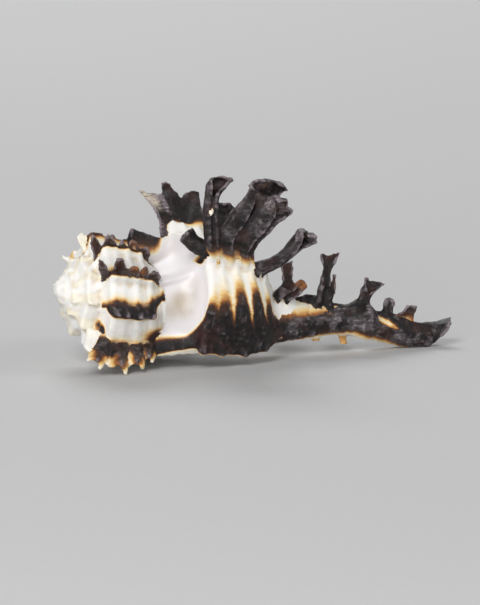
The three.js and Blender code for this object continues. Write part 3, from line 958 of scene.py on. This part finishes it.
# for each varix: its angle, how many scales, their size, lean to the older side in degrees,
# widths of base and head, and darkness of foot and tip
SCALE_ROWS = [
    (235, 5, 0.55, 7, 1.7, 1.4, 1.4, 1.0),
    (378, 5, 0.95, 9, 1.8, 0.85, 0.6, 0.3),
    (415, 5, 0.75, 8, 1.7, 0.8, 0.6, 0.2),
    (452, 2, 0.45, 6, 1.6, 1.2, -1.0, -1.0),
    (492, 3, 0.34, 6, 1.6, 1.5, -1.5, -1.5),
    (532, 3, 0.3, 6, 1.4, 1.2, -1.4, -1.4),
]
for angle, count, size, older, base, head, foot_depth, tip_depth in SCALE_ROWS:
    shrunk = spiral_radius(turn_of(angle)) / spiral_radius(1.17) if angle > SPIRE_FROM else 1.0
    for drop, lean, stand in ROW_OF_SCALES[:count]:
        own = size * RAGGED.uniform(0.85, 1.25)
        wide, tone = RAGGED.uniform(0.6, 1.3), RAGGED.uniform(-0.15, 0.3)
        frill = FRILLS[RAGGED.integers(len(FRILLS))]
        older_by = older + RAGGED.uniform(-4, 4)
        sources.append(scale(angle, drop * shrunk, lean * own, stand * own, older_by,
                             base * mix(1.0, wide, 0.4), head * wide, depth=foot_depth,
                             tip_depth=tip_depth + tone, fingers=frill, chalk=1.0))
print(sum(row[1] for row in SCALE_ROWS), "small scales")

# %% Grow the crumpled row
# drop, lean, stand, and the width of the head
CRUMPLED_ROW = [
    (0.3, 2.7, 3.6, 2.2),
    (2.0, 1.6, 4.1, 2.6),
    (3.8, 1.0, 3.4, 2.2),
    (5.3, 0.9, 2.6, 1.8),
]
# first a low white one beside them, at the edge of the hollow
sources.append(scale(298, -1.2, 1.4, 1.7, 3, 2.4, 1.9, flatten=0.8, depth=-1.4))
for number, (drop, lean, stand, head) in enumerate(CRUMPLED_ROW):
    sources.append(scale(300, drop, lean, stand, 5, 2.2, head, flatten=1.1,
                         depth=0.9, tip_depth=0.5, rim_depth=-1.1, foot_depth=-1.0,
                         pale_foot=2.4, tip_from=0.62, chalk=1.0,
                         fingers=FRILLS[number % len(FRILLS)]))
print(len(sources), "parts to grow together")

# %% [markdown]
# ## The room inside
#
# The mouth opens underneath, a smooth white room that narrows as it goes round, with a channel
# from it to the canal's end. These are made as closed bodies and cut away from the shell. They
# are kept as sources too, so that the cut walls know they are smooth and white.

# %% Make the room that the snail lived in
MOUTH_TURNS = np.linspace(-0.1, 0.42, 40)
MOUTH_SIDES = 40


def mouth_room():
    """An oval room that follows the last turn back and closes."""
    around = np.linspace(0, 2 * np.pi, MOUTH_SIDES, endpoint=False)
    sides = (np.cos(around), np.sin(around))
    across, out = (np.sign(side) * np.abs(side) ** 0.85 for side in sides)
    rings = []
    for turn in MOUTH_TURNS:
        place = max(turn, 0)
        radius = shoulder_radius(place)
        shrink = max(math.sqrt(max(0, 1 - (max(0, turn - 0.3) / 0.125) ** 2)), 0.12)
        x = shoulder_at(place) + radius * (0.46 + 0.50 * across * shrink)
        r = radius * (0.57 + 0.31 * out * shrink)
        rings.append(on_coil(x, r, LIP_ANGLE + 360 * turn))
    return swept(rings, depth=-2.6, smooth=1.0)


rooms = [mouth_room()]
print("mouth room:", len(rooms[0].points), "points")

# %% Make the channel and its open seam
# x, distance from the axis and radius of the channel
CHANNEL = [
    (19.5, 4.6, 1.0),
    (22, 3.8, 1.2),
    (25.5, 1.9, 1.0),
    (30, 0.1, 0.75),
    (40, 0, 0.7),
    (51.2, 0, 0.65),
]
CHANNEL_SIDES = 24
MOUTH_ANGLE = 222.0
SLIT_WIDTH = 0.7
SLIT_DEPTH = 5
SLIT_ENDS = (25, 51.5)


def channel():
    """A round bore from the mouth to the canal's end."""
    path = through(CHANNEL, 90)
    around = np.linspace(0, 2 * np.pi, CHANNEL_SIDES, endpoint=False)
    circle = np.stack([0 * around, np.cos(around), np.sin(around)], axis=-1)
    rings = [on_coil(x, r, LIP_ANGLE) + radius * circle for x, r, radius in path]
    return swept(rings, depth=-2.0, smooth=0.8)


def slit():
    """The open seam of the canal, on the side that the mouth faces."""
    turned_by = math.radians(MOUTH_ANGLE)
    out = np.array([0, -math.cos(turned_by), math.sin(turned_by)])
    wide = np.array([0, math.sin(turned_by), math.cos(turned_by)])
    half = SLIT_WIDTH / 2
    corners = [(0, -half), (0, half), (SLIT_DEPTH, half * 1.6), (SLIT_DEPTH, -half * 1.6)]
    rings = [
        [np.array([x, 0, 0]) + out * far + wide * off for far, off in corners]
        for x in np.linspace(*SLIT_ENDS, 60)
    ]
    return swept(rings, depth=-1.2, smooth=0.5)


rooms += [channel(), slit()]
print("rooms to cut away:", len(rooms))

# %% [markdown]
# ## Fusing the parts
#
# Nearly sixty overlapping bodies are not yet one shell. Blender's voxel Remesh melts them into a
# single skin, rounds the joints the way grown lime does, and leaves nothing inside. A Boolean
# then cuts the room out, and a second Remesh and a little smoothing take its sharp rim away.
# The alternative, a Boolean union of every part, would keep knife edges where a spine meets
# the wall.

# %% Set up the workbench
VOXEL = 0.165


def joined(parts):
    """All points and all faces of several sources, the points rounded as a mesh keeps them."""
    starts = np.cumsum([0] + [len(part.points) for part in parts])
    faces = [part.faces + start for part, start in zip(parts, starts)]
    points = np.concatenate([part.points for part in parts]).astype(np.float32).astype(float)
    return points, np.concatenate(faces)


def mesh_of(name, parts):
    points, faces = joined(parts)
    mesh = bpy.data.meshes.new(name)
    mesh.from_pydata(points.tolist(), [], faces.tolist())
    return mesh


def changed(mesh, kind, **settings):
    """The mesh after one modifier."""
    holder = bpy.data.objects.new("workbench", mesh)
    bpy.context.scene.collection.objects.link(holder)
    modifier = holder.modifiers.new("step", kind)
    for name, value in settings.items():
        setattr(modifier, name, value)
    bpy.context.view_layer.update()
    graph = bpy.context.evaluated_depsgraph_get()
    result = bpy.data.meshes.new_from_object(holder.evaluated_get(graph))
    bpy.data.objects.remove(holder)
    return result


def points_of(mesh):
    flat = np.empty(3 * len(mesh.vertices), dtype=np.float32)
    mesh.vertices.foreach_get("co", flat)
    return flat.reshape(-1, 3).astype(float)


def fused(name, parts):
    return changed(mesh_of(name, parts), "REMESH", mode="VOXEL", voxel_size=VOXEL)


print("voxel size in mm:", VOXEL)

# %% Fuse everything and cut the room out
outside = fused("outside", sources)
inside = fused("inside", rooms)
cutter = bpy.data.objects.new("cutter", inside)
bpy.context.scene.collection.objects.link(cutter)
hollowed = changed(outside, "BOOLEAN", operation="DIFFERENCE", solver="MANIFOLD", object=cutter)
bpy.data.objects.remove(cutter)
skin = changed(hollowed, "REMESH", mode="VOXEL", voxel_size=VOXEL)
skin = changed(skin, "SMOOTH", factor=0.5, iterations=2)
print("fused skin:", len(skin.vertices), "points, and", len(outside.vertices), "before the cut")

# %% [markdown]
# ## Handing the notes over to the skin
#
# The fused skin has fresh points that know nothing of turns and colours. Each one looks up the
# nearest place on the parts it was made from and takes the notes from there, weighted inside
# the triangle it meets. A search tree over the sources makes that quick.

# %% Look up the notes for any points
everything = sources + rooms
source_points, source_faces = joined(everything)
source_notes = {name: np.concatenate([part.notes[name] for part in everything]) for name in NOTES}
tree = BVHTree.FromPolygons(source_points.tolist(), source_faces.tolist())


def look_up(points):
    """The notes of the nearest source place for each point."""
    hits = [tree.find_nearest(point)[::2] for point in points.tolist()]
    places = np.array([place for place, _ in hits])
    corners = source_faces[[face for _, face in hits]]
    a, b, c = (source_points[corners[:, i]] for i in range(3))
    whole = np.linalg.norm(np.cross(b - a, c - a), axis=1) + 1e-12
    to_a = np.linalg.norm(np.cross(b - places, c - places), axis=1) / whole
    to_b = np.linalg.norm(np.cross(c - places, a - places), axis=1) / whole
    shares = np.stack([to_a, to_b, np.clip(1 - to_a - to_b, 0, 1)], axis=1)
    return {name: (values[corners] * shares).sum(axis=1) for name, values in source_notes.items()}


notes = look_up(points_of(skin))
print("share of the skin that is dark:", round(float((notes["depth"] > 0).mean()), 2))

# %% [markdown]
# ## Weathering the skin
#
# A voxel skin is too even. Real lime has growth wrinkles that follow the lip, rough grainy
# spines and a knobbly canal, and only the hollow and the mouth are smooth as porcelain. The
# points are moved along their normals by value noise: a grid of random numbers, always the
# same because each comes from its own cell's place.

# %% Make grain from a grid of fixed numbers
def cell_number(cells, seed):
    """A fixed number from 0 to 1 for each cell: large odd factors, mixed bit by bit."""
    x, y, z = (cells[..., axis] for axis in range(3))
    mixed = (x * 73856093) ^ (y * 19349663) ^ (z * 83492791) ^ (seed * 2654435)
    mixed = (mixed ^ (mixed >> 13)) * 1274126177
    return ((mixed ^ (mixed >> 16)) & 0xFFFF) / 0xFFFF


def grain(points, size, seed):
    """Smooth noise from -1 to 1 whose lumps are about size across."""
    scaled = points / size
    cells = np.floor(scaled).astype(np.int64)
    share = scaled - cells
    share = share * share * (3 - 2 * share)
    total = np.zeros(len(points))
    for corner in np.ndindex(2, 2, 2):
        weight = np.prod(np.where(np.array(corner), share, 1 - share), axis=1)
        total += weight * cell_number(cells + np.array(corner), seed)
    return 2 * total - 1


def normals_of(mesh):
    flat = np.empty(3 * len(mesh.vertices), dtype=np.float32)
    mesh.vertex_normals.foreach_get("vector", flat)
    return flat.reshape(-1, 3).astype(float)


print("grain at two places:", grain(np.array([[0.2, 0, 0], [5.1, 0, 0]]), 1, 1).round(2))

# %% Move the points by their grain
MOST_TRIANGLES = 192_000
LINES_ACROSS, LINES_ALONG = 2.2, 0.35

points, normals = points_of(skin), normals_of(skin)
lines = [notes["across"] * LINES_ACROSS, notes["along"] * LINES_ALONG, np.zeros(len(points))]
lines = np.stack(lines, axis=-1)
dark = ease(-0.2, 0.6, notes["depth"])
on_canal = ease(25, 32, points[:, 0])
rough = (1 - 0.92 * notes["smooth"]) * (1 - 0.45 * ease(0.0, -1.0, notes["depth"]))
# for each kind of grain its height comes first, and its size and its seed come last
wrinkles = 0.05 * grain(lines, 1.0, 3) + 0.035 * grain(lines * 2.1, 1.0, 4)
lumps = 0.06 * grain(points, 0.9, 5) * (0.4 + 0.8 * dark)
crags = 0.12 * grain(points, 1.1, 6) + 0.14 * grain(points * np.array([0.35, 1.5, 1.5]), 1.0, 8)
lumps = lumps + crags * on_canal * dark
pits = 0.045 * grain(points, 0.36, 7) * (0.35 + 0.65 * dark)
moved = points + normals * ((wrinkles + lumps + pits) * rough)[:, None]
skin.vertices.foreach_set("co", moved.astype(np.float32).ravel())
skin.update()
thinning = min(1.0, MOST_TRIANGLES / (2 * len(skin.polygons)))
skin = changed(skin, "DECIMATE", ratio=thinning, use_collapse_triangulate=True)
print("weathered skin:", len(skin.polygons), "triangles")

# %% [markdown]
# ## Edges and creases
#
# Handled shells lose their colour first where they stick out. The same measure also paints
# highlights on proud edges and shade in the creases.
# How far a point stands out is measured on the mesh: its neighbours' middle, seen along the
# normal, lies below a ridge and above a crease. A few rounds of averaging widen the measure to
# the size of a spine's rim.

# %% Measure how far each point stands out
AVERAGING_ROUNDS = 3


def stands_out(mesh, points, normals):
    """How far each point lies outside the middle of its neighbours, in mm."""
    pairs = np.empty(2 * len(mesh.edges), dtype=np.int32)
    mesh.edges.foreach_get("vertices", pairs)
    first, second = pairs.reshape(-1, 2).T
    count = np.bincount(pairs, minlength=len(points))

    def averaged(values):
        total = np.bincount(first, values[second], len(points))
        total = total + np.bincount(second, values[first], len(points))
        return total / np.maximum(count, 1)

    middle = points
    for _ in range(AVERAGING_ROUNDS):
        middle = np.stack([averaged(middle[:, axis]) for axis in range(3)], axis=-1)
    height = ((points - middle) * normals).sum(axis=1)
    return averaged(height)


points, normals = points_of(skin), normals_of(skin)
notes = look_up(points)
notes["edge"] = stands_out(skin, points, normals)
print("edge measure in mm, all but the outermost tenth:",
      np.percentile(notes["edge"], [5, 95]).round(3))

# %% [markdown]
# ## Laying the shell down
#
# The shell was grown along its axis. Now it is rolled and pitched on to the places it rests
# on, exactly as the solid is, and brought to metres. Points that would pass below the ground
# are brought up to it: those are the worn tips it stands on.

# %% Lay it down in metres
REST_ROLL = -5.64
REST_PITCH = 9.15
REST_SHIFT = (-24.75, -3.51, 9.26)
MM = 0.001

roll = Matrix.Rotation(math.radians(REST_ROLL), 3, "X")
pitch = Matrix.Rotation(math.radians(REST_PITCH), 3, "Y")
laid = np.array(pitch @ roll)


def at_rest(points):
    """Places of the growing shell's space, in the shared space in metres."""
    return (np.asarray(points) @ laid.T + REST_SHIFT) * MM


placed = at_rest(points)
placed[:, 2] = np.maximum(placed[:, 2], 0)
skin.vertices.foreach_set("co", placed.astype(np.float32).ravel())
for name, values in notes.items():
    kept = skin.attributes.new(name, "FLOAT", "POINT")
    kept.data.foreach_set("value", values.astype(np.float32))
skin.shade_smooth()
skin.update()
skin.name = "murex_shell"
shell = bpy.data.objects.new("murex_shell", skin)
bpy.context.scene.collection.objects.link(shell)
print("shell's box in mm:", (placed.min(axis=0) / MM).round(1), (placed.max(axis=0) / MM).round(1))

# %% [markdown]
# ## Writing shader maths as sums
#
# Node trees are hard to read when every plus and times is a node placed by hand. A small class
# holds one socket and knows what plus, minus and times mean, so that the recipe below reads
# like arithmetic. Anything that isn't arithmetic goes through one method that takes the node's
# type, its settings and its inputs.

# %% Wrap sockets so that they can be reckoned with
class Wire:
    """One output socket of a recipe. Arithmetic on it adds Math nodes."""

    def __init__(self, recipe, socket):
        self.recipe = recipe
        self.socket = socket

    def reckon(self, operation, *values):
        return self.recipe.node("ShaderNodeMath", {"operation": operation}, dict(enumerate(values)))

    def __add__(self, other):
        return self.reckon("ADD", self, other)

    __radd__ = __add__

    def __sub__(self, other):
        return self.reckon("SUBTRACT", self, other)

    def __rsub__(self, other):
        return self.reckon("SUBTRACT", other, self)

    def __mul__(self, other):
        return self.reckon("MULTIPLY", self, other)

    __rmul__ = __mul__

    def between(self, low, high):
        """0 at low, 1 at high, with a smooth step between."""
        return self.recipe.node(
            "ShaderNodeMapRange",
            {"interpolation_type": "SMOOTHSTEP"},
            {"Value": self, "From Min": low, "From Max": high},
        )


print("a wire knows", [name for name in vars(Wire) if name.startswith("__r")], "too")

# %% Build node trees with one method
class Recipe:
    """The node tree of one material."""

    def __init__(self, name):
        self.material = bpy.data.materials.new(name)
        self.material.use_nodes = True
        self.tree = self.material.node_tree
        self.tree.nodes.clear()

    def node(self, kind, settings=None, inputs=None, output=0):
        """Any node: its settings and a ramp's stops are set first, then its sockets."""
        made = self.tree.nodes.new(kind)
        settings = dict(settings or {})
        stops = settings.pop("stops", None)
        for name, value in settings.items():
            setattr(made, name, value)
        if stops:
            while len(made.color_ramp.elements) < len(stops):
                made.color_ramp.elements.new(0.5)
            for element, (place, colour) in zip(made.color_ramp.elements, stops):
                element.position = place
                element.color = (*colour, 1.0)
        for name, value in (inputs or {}).items():
            self.set(made.inputs[name], value)
        return Wire(self, made.outputs[output]) if made.outputs else None

    def set(self, socket, value):
        """Link a wire to a socket, or give the socket a value."""
        if isinstance(value, Wire):
            self.tree.links.new(value.socket, socket)
        elif hasattr(socket.default_value, "__len__") and len(socket.default_value) == 4:
            socket.default_value = (*value[:3], 1.0)
        else:
            socket.default_value = value

    def note(self, name):
        """A number that was stored with the mesh's points."""
        return self.node("ShaderNodeAttribute", {"attribute_name": name}, output="Fac")

    def noise(self, place, scale, detail=3.0, roughness=0.55):
        inputs = {"Vector": place, "Scale": scale, "Detail": detail, "Roughness": roughness}
        return self.node("ShaderNodeTexNoise", None, inputs, output="Fac")

    def blend(self, share, low, high):
        """A mix of two colours. The Mix node keeps its colour sockets at 0, 6, 7 and 2."""
        inputs = {0: share, 6: low, 7: high}
        return self.node("ShaderNodeMix", {"data_type": "RGBA"}, inputs, output=2)


print("a recipe can make", [name for name in vars(Recipe) if name[0] != "_"])

# %% [markdown]
# ## The shell's colour
#
# The depth of colour runs from porcelain white through cream, honey and rust to a black-brown.
# A colour ramp turns the one into the other. Noise shifts the depth a little first, in clouds
# and along the growth lines, so that no edge is a clean line. Where the shell is smooth, in the
# hollow and the mouth, the white is painted a darker lilac grey: painted shade of those recessed
# parts.
#
# The recipe keeps the notes and the noises that its layers share, and each layer is a function
# that takes a colour and gives one back.

# %% Name the colours of the shell
PORCELAIN = (0.88, 0.86, 0.82)
# a darker lilac white for the smooth hollow and mouth: painted shade
SHADED_LILAC_WHITE = (0.76, 0.72, 0.74)
CREAM = (0.86, 0.78, 0.60)
HONEY = (0.78, 0.52, 0.20)
RUST = (0.36, 0.13, 0.03)
UMBER = (0.06, 0.028, 0.016)
INK = (0.010, 0.008, 0.008)
DEPTH_LOW, DEPTH_HIGH = -2.0, 1.5
DEPTH_COLOURS = [
    (-1.5, PORCELAIN),
    (-0.75, CREAM),
    (-0.35, HONEY),
    (-0.02, RUST),
    (0.25, UMBER),
    (0.9, INK),
]
RAMP_STOPS = [
    ((depth - DEPTH_LOW) / (DEPTH_HIGH - DEPTH_LOW), colour) for depth, colour in DEPTH_COLOURS
]
print("stops of the ramp:", [round(place, 2) for place, _ in RAMP_STOPS])

# %% Turn depth into colour
SPECKLE_STRETCH = (0.4, 1.0, 1.0)


class Lime(Recipe):
    """The shell's recipe, with the notes, places and noises that its layers share."""

    def __init__(self, name):
        super().__init__(name)
        self.place = self.node("ShaderNodeTexCoord", output="Object")
        self.depth, self.smooth, self.edge = map(self.note, ("depth", "smooth", "edge"))
        self.across, self.along = self.note("across"), self.note("along")
        self.chalk, self.stain = self.note("chalk"), self.note("stain")
        self.fleck = self.noise(self.place, 1500.0, 5.0, 0.7)
        self.patches = self.noise(self.place, 520.0, 4.0, 0.65).between(0.42, 0.6)
        stretch = {"Vector": self.place, "Scale": SPECKLE_STRETCH}
        stretched = self.node("ShaderNodeMapping", None, stretch)
        self.speckle = self.noise(stretched, 2900.0, 5.0, 0.7)

    def line_noise(self, across, along, detail, roughness):
        """Noise by the growth's own lengths, so fine across the growth lines and along them."""
        scaled = {"X": self.across * across, "Y": self.along * along}
        line_place = self.node("ShaderNodeCombineXYZ", None, scaled)
        return self.noise(line_place, 1.0, detail, roughness)


def banded(lime):
    """The colour of the dark bands and of the pale shell, and where it is dark."""
    cloud = lime.noise(lime.place, 650.0, 4.0, 0.6)
    streak = lime.line_noise(2.2, 0.4, 3.0, 0.5)
    ragged = lime.depth + (cloud - 0.5) * 0.9 + (streak - 0.5) * 0.5
    spread = (ragged - DEPTH_LOW) * (1 / (DEPTH_HIGH - DEPTH_LOW))
    colour = lime.node("ShaderNodeValToRGB", {"stops": RAMP_STOPS}, {"Fac": spread})
    # the smooth hollow and mouth get the darker lilac white: painted shade of those recessed parts
    smooth_share = lime.smooth * (1 - ragged.between(-1.6, -0.9)) * 0.8
    return lime.blend(smooth_share, colour, SHADED_LILAC_WHITE), ragged.between(0.0, 0.5)


lime = Lime("weathered_lime")
colour, is_dark = banded(lime)
print("nodes for the bands:", len(lime.tree.nodes))

# %% [markdown]
# ## Wear and dirt, with painted highlights and painted shade
#
# The dark parts have suffered most. Brown and reddish dust lies on them in flecks and clouds,
# the brown laid thicker on proud edges, where it is a painted highlight too. The heads of the
# spines and the canal are chalky, where the surface has crumbled: that follows the chalk note,
# in patches with speckles, and the speckles are brighter on proud edges as painted highlights.
# The shafts keep fine pale streaks along their length, proud edges are rubbed to a dusty lilac
# grey that is also a painted rim highlight, and one blade is bleached. Each of these is a share
# of another colour, laid over the one before.
#
# Creases of the pale parts are painted a warm tan shade instead, and the yellow dirt lies where
# the note of stains says, which also paints a yellow shade in the grooves of the older wall.

# %% Wear the dark parts, and paint highlights on their edges
# brown dust, partly a painted sheen where it lies on proud edges
BROWN_DUST_AND_SHEEN = (0.085, 0.063, 0.054)
MAROON = (0.060, 0.024, 0.021)
# pale chalk, partly painted glints where it lies on proud edges and ridges
CHALK_AND_GLINT = (0.43, 0.39, 0.40)
# lilac grey of rubbed edges and streaks, partly a painted rim highlight
LILAC_DUST_AND_SHEEN = (0.27, 0.225, 0.25)
BLEACHED = (0.64, 0.56, 0.45)


def worn(lime, colour, is_dark):
    """Everything that lies on the dark parts, from dust to bare edges, and painted highlights."""
    # brown dust in flecks, thicker on proud edges: dust, and there a painted highlight
    dust_and_sheen = lime.fleck.between(0.5, 0.66) * (0.3 + lime.edge.between(-0.02, 0.04) * 0.7)
    reddish = lime.noise(lime.place, 330.0, 4.0, 0.6).between(0.5, 0.64)
    # chalky crumble in speckled patches, brighter on proud edges: wear, and painted highlights
    chalk_and_glints = lime.chalk * lime.speckle.between(0.45, 0.7) * lime.patches
    chalk_and_glints = chalk_and_glints * (0.4 + lime.edge.between(-0.03, 0.05) * 0.6)
    ridged = lime.line_noise(0.45, 1.7, 4.0, 0.6).between(0.48, 0.7) * lime.patches
    ridged = ridged * (0.2 + lime.fleck.between(0.4, 0.6) * 0.8)
    ridged = ridged * lime.chalk.between(0.12, 0.02)
    bleached = lime.stain * lime.chalk.between(1.0, 1.4)
    bleached = bleached * (0.35 + lime.speckle.between(0.4, 0.52) * 0.65)
    # proud edges rubbed to lilac grey: wear, and a painted rim highlight
    rubbed_and_rim_lit = lime.edge.between(0.03, 0.075) * lime.fleck.between(0.25, 0.6)
    layers = [
        (dust_and_sheen * 0.5, BROWN_DUST_AND_SHEEN),
        (reddish * 0.5, MAROON),
        (chalk_and_glints * 0.9, CHALK_AND_GLINT),
        (lime.chalk * lime.patches * 0.22, LILAC_DUST_AND_SHEEN),
        (ridged * 0.45, LILAC_DUST_AND_SHEEN),
        (bleached, BLEACHED),
        (rubbed_and_rim_lit * 0.85, LILAC_DUST_AND_SHEEN),
    ]
    for share, layer in layers:
        colour = lime.blend(share * is_dark, colour, layer)
    return colour


colour = worn(lime, colour, is_dark)
print("nodes with the wear:", len(lime.tree.nodes))

# %% Dirty the pale parts, and paint shade in their creases and grooves
# a warm tan painted into the creases of the pale parts: painted shade
TAN_CREASE_SHADE = (0.62, 0.47, 0.27)
# a yellow brown for the dirt and for the painted shade in the grooves
DIRT_AND_GROOVE_SHADE = (0.38, 0.30, 0.19)


def dirtied_and_shaded(lime, colour, is_dark):
    """Painted tan shade in the creases, yellow dirt in smudges, and painted shade in grooves."""
    # darker warm tan in the creases of the pale parts: painted shade
    crease_shade = lime.edge.between(-0.012, -0.05) * 0.5 * (1 - is_dark) * (1 - lime.smooth)
    colour = lime.blend(crease_shade, colour, TAN_CREASE_SHADE)
    smudge = lime.noise(lime.place, 260.0, 3.0, 0.5)
    # yellow dirt, and the yellow painted shade of the older wall's grooves, both from the note of
    # stains
    dirt_and_groove_shade = lime.stain * (0.45 + smudge.between(0.35, 0.6) * 0.55)
    return lime.blend(dirt_and_groove_shade * (1 - is_dark), colour, DIRT_AND_GROOVE_SHADE)


colour = dirtied_and_shaded(lime, colour, is_dark)
print("nodes with the dirt:", len(lime.tree.nodes))

# %% [markdown]
# ## Grain and gloss
#
# Fine growth lines and grain show in the bump, weakest where the shell is smooth, and chalky
# places are rougher still. The dark parts are a little duller than the pale ones. Lime lets
# some light in, so the surface scatters a little of it below, and the porcelain of the hollow
# has a thin soft gloss on top that the rest lacks.

# %% Grain the surface and finish it
BUMP_HEIGHT = 0.12 * MM


def grained(lime):
    """The bump of growth lines, grain and crumbled places."""
    fine_lines = lime.line_noise(7.0, 0.8, 2.0, 0.5)
    fine_grain = lime.noise(lime.place, 5200.0, 4.0, 0.65)
    relief = (fine_lines * 0.6 + fine_grain * 0.7) * (1 - lime.smooth * 0.93)
    relief = relief + lime.chalk * lime.noise(lime.place, 1500.0, 4.0, 0.6)
    heights = {"Strength": 0.55, "Distance": BUMP_HEIGHT, "Height": relief}
    return lime.node("ShaderNodeBump", None, heights)


surface = lime.node(
    "ShaderNodeBsdfPrincipled",
    {"subsurface_method": "RANDOM_WALK"},
    {
        "Base Color": colour,
        "Roughness": 0.34 + is_dark * 0.12 + lime.fleck * 0.22 - lime.smooth * 0.02,
        "Normal": grained(lime),
        "IOR": 1.5,
        "Specular IOR Level": 0.26,
        "Coat Weight": lime.smooth * (1 - is_dark) * 0.5,
        "Coat Roughness": 0.3,
        "Subsurface Weight": 0.12,
        "Subsurface Radius": (0.0012, 0.0009, 0.0006),
        "Subsurface Scale": 1.0,
    },
)
lime.node("ShaderNodeOutputMaterial", None, {"Surface": surface})

skin.materials.clear()
skin.materials.append(lime.material)
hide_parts("shell")
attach(shell, "root")
print("finish:", skin.materials[0].name, "of", len(lime.tree.nodes), "nodes")

# %% [markdown]
# ## The ground
#
# The shell lies on a plain pale sheet that is wide enough to fill the view from any side. It
# isn't part of the object, so it is staged.

# %% Lay the ground
GROUND_RADIUS = 4.0
GROUND_SIDES = 95


def paper_finish():
    recipe = Recipe("pale_paper")
    place = recipe.node("ShaderNodeTexCoord", output="Object")
    tooth = recipe.noise(place, 900.0, 2.0)
    colour = recipe.blend(tooth, (0.52, 0.52, 0.525), (0.55, 0.55, 0.555))
    dull = {"Base Color": colour, "Roughness": 0.85}
    surface = recipe.node("ShaderNodeBsdfPrincipled", None, dull)
    recipe.node("ShaderNodeOutputMaterial", None, {"Surface": surface})
    return recipe.material


around = np.linspace(0, 2 * np.pi, GROUND_SIDES, endpoint=False)
rim = GROUND_RADIUS * np.stack([np.cos(around), np.sin(around), 0 * around], axis=-1)
ground_mesh = bpy.data.meshes.new("ground")
ground_mesh.from_pydata(rim.tolist(), [], [list(range(GROUND_SIDES))])
ground_mesh.materials.append(paper_finish())
ground = bpy.data.objects.new("ground", ground_mesh)
bpy.context.scene.collection.objects.link(ground)
print("ground:", 2 * GROUND_RADIUS, "m across")

# %% [markdown]
# ## The camera
#
# The photograph looks at the shell from the side, turned 25 degrees towards the spire, with
# the picture rolled a little against the axis. A long lens far away keeps the spines nearly
# parallel, as they are there. Its length follows from the height of the picture in
# millimetres, so the shell comes out at the size that it has in the photograph.

# %% Point the camera
PICTURE_WIDTH, PICTURE_HEIGHT = 480, 605
MM_PER_PIXEL = 0.1131
APEX_PIXEL = (54, 288)
VIEW_TURN = math.radians(25)
PICTURE_ROLL = math.atan(0.115)
CAMERA_DISTANCE = 0.9
SENSOR_HEIGHT = 24

sideways = np.array([math.cos(VIEW_TURN), -math.sin(VIEW_TURN), 0])
upright = np.array([0, 0, 1])
right = math.cos(PICTURE_ROLL) * sideways + math.sin(PICTURE_ROLL) * upright
up = -math.sin(PICTURE_ROLL) * sideways + math.cos(PICTURE_ROLL) * upright
back = np.cross(right, up)
to_middle = (PICTURE_WIDTH / 2 - APEX_PIXEL[0]) * right - (PICTURE_HEIGHT / 2 - APEX_PIXEL[1]) * up
aim = at_rest(to_middle * MM_PER_PIXEL)

lens = bpy.data.cameras.new("camera")
lens.sensor_fit = "VERTICAL"
lens.sensor_height = SENSOR_HEIGHT
lens.lens = SENSOR_HEIGHT * CAMERA_DISTANCE / (PICTURE_HEIGHT * MM_PER_PIXEL * MM)
lens.clip_start, lens.clip_end = 0.05, 20
axes = np.stack([laid @ right, laid @ up, laid @ back], axis=1)
camera = bpy.data.objects.new("camera", lens)
camera.matrix_world = Matrix.Translation(aim + axes[:, 2] * CAMERA_DISTANCE) @ Matrix(axes).to_4x4()
bpy.context.scene.collection.objects.link(camera)
bpy.context.scene.camera = camera
print("camera looks along", (-axes[:, 2]).round(3), "with a lens of", round(lens.lens), "mm")

# %% [markdown]
# ## The light
#
# Four soft panels, as for a product picture. The main one stands high on the left in front and
# gives the porcelain its glow, and a low one under it reaches the front of the spines. A weaker
# one on the right opens the shadows, and one above and behind draws the rims. A dim pale
# surrounding fills the rest.

# %% Set the light
# place and size in metres, power in watts
PANELS = {
    "main_light": ((-0.43, -0.48, 0.50), 0.30, 3.1),
    "front_light": ((-0.40, -0.52, 0.08), 0.30, 2.6),
    "side_light": ((0.60, -0.25, 0.30), 0.40, 1.3),
    "rim_light": ((0.10, 0.55, 0.50), 0.40, 3.0),
}
LIT_PLACE = (0, 0, 0.01)
ROOM_COLOUR = (0.84, 0.83, 0.81, 1)
ROOM_STRENGTH = 0.19


def panel(name, place, size, power):
    """A square soft light that looks at the shell."""
    light = bpy.data.lights.new(name, "AREA")
    light.shape = "SQUARE"
    light.size = size
    light.energy = power
    holder = bpy.data.objects.new(name, light)
    axis = unit(np.subtract(place, LIT_PLACE))
    level = unit(np.cross([0, 0, 1], axis))
    turned_to = Matrix(np.stack([level, np.cross(axis, level), axis], axis=1))
    holder.matrix_world = Matrix.Translation(place) @ turned_to.to_4x4()
    bpy.context.scene.collection.objects.link(holder)


for name, (place, size, power) in PANELS.items():
    panel(name, place, size, power)

world = bpy.data.worlds.new("pale_room")
world.use_nodes = True
background = world.node_tree.nodes["Background"]
background.inputs["Color"].default_value = ROOM_COLOUR
background.inputs["Strength"].default_value = ROOM_STRENGTH
bpy.context.scene.world = world
bpy.context.scene.view_settings.view_transform = "Standard"

# %% [markdown]
# ## Finishing
#
# The shell has to stay within about three per cent of its solid's box.

# %% Finish
print("done")
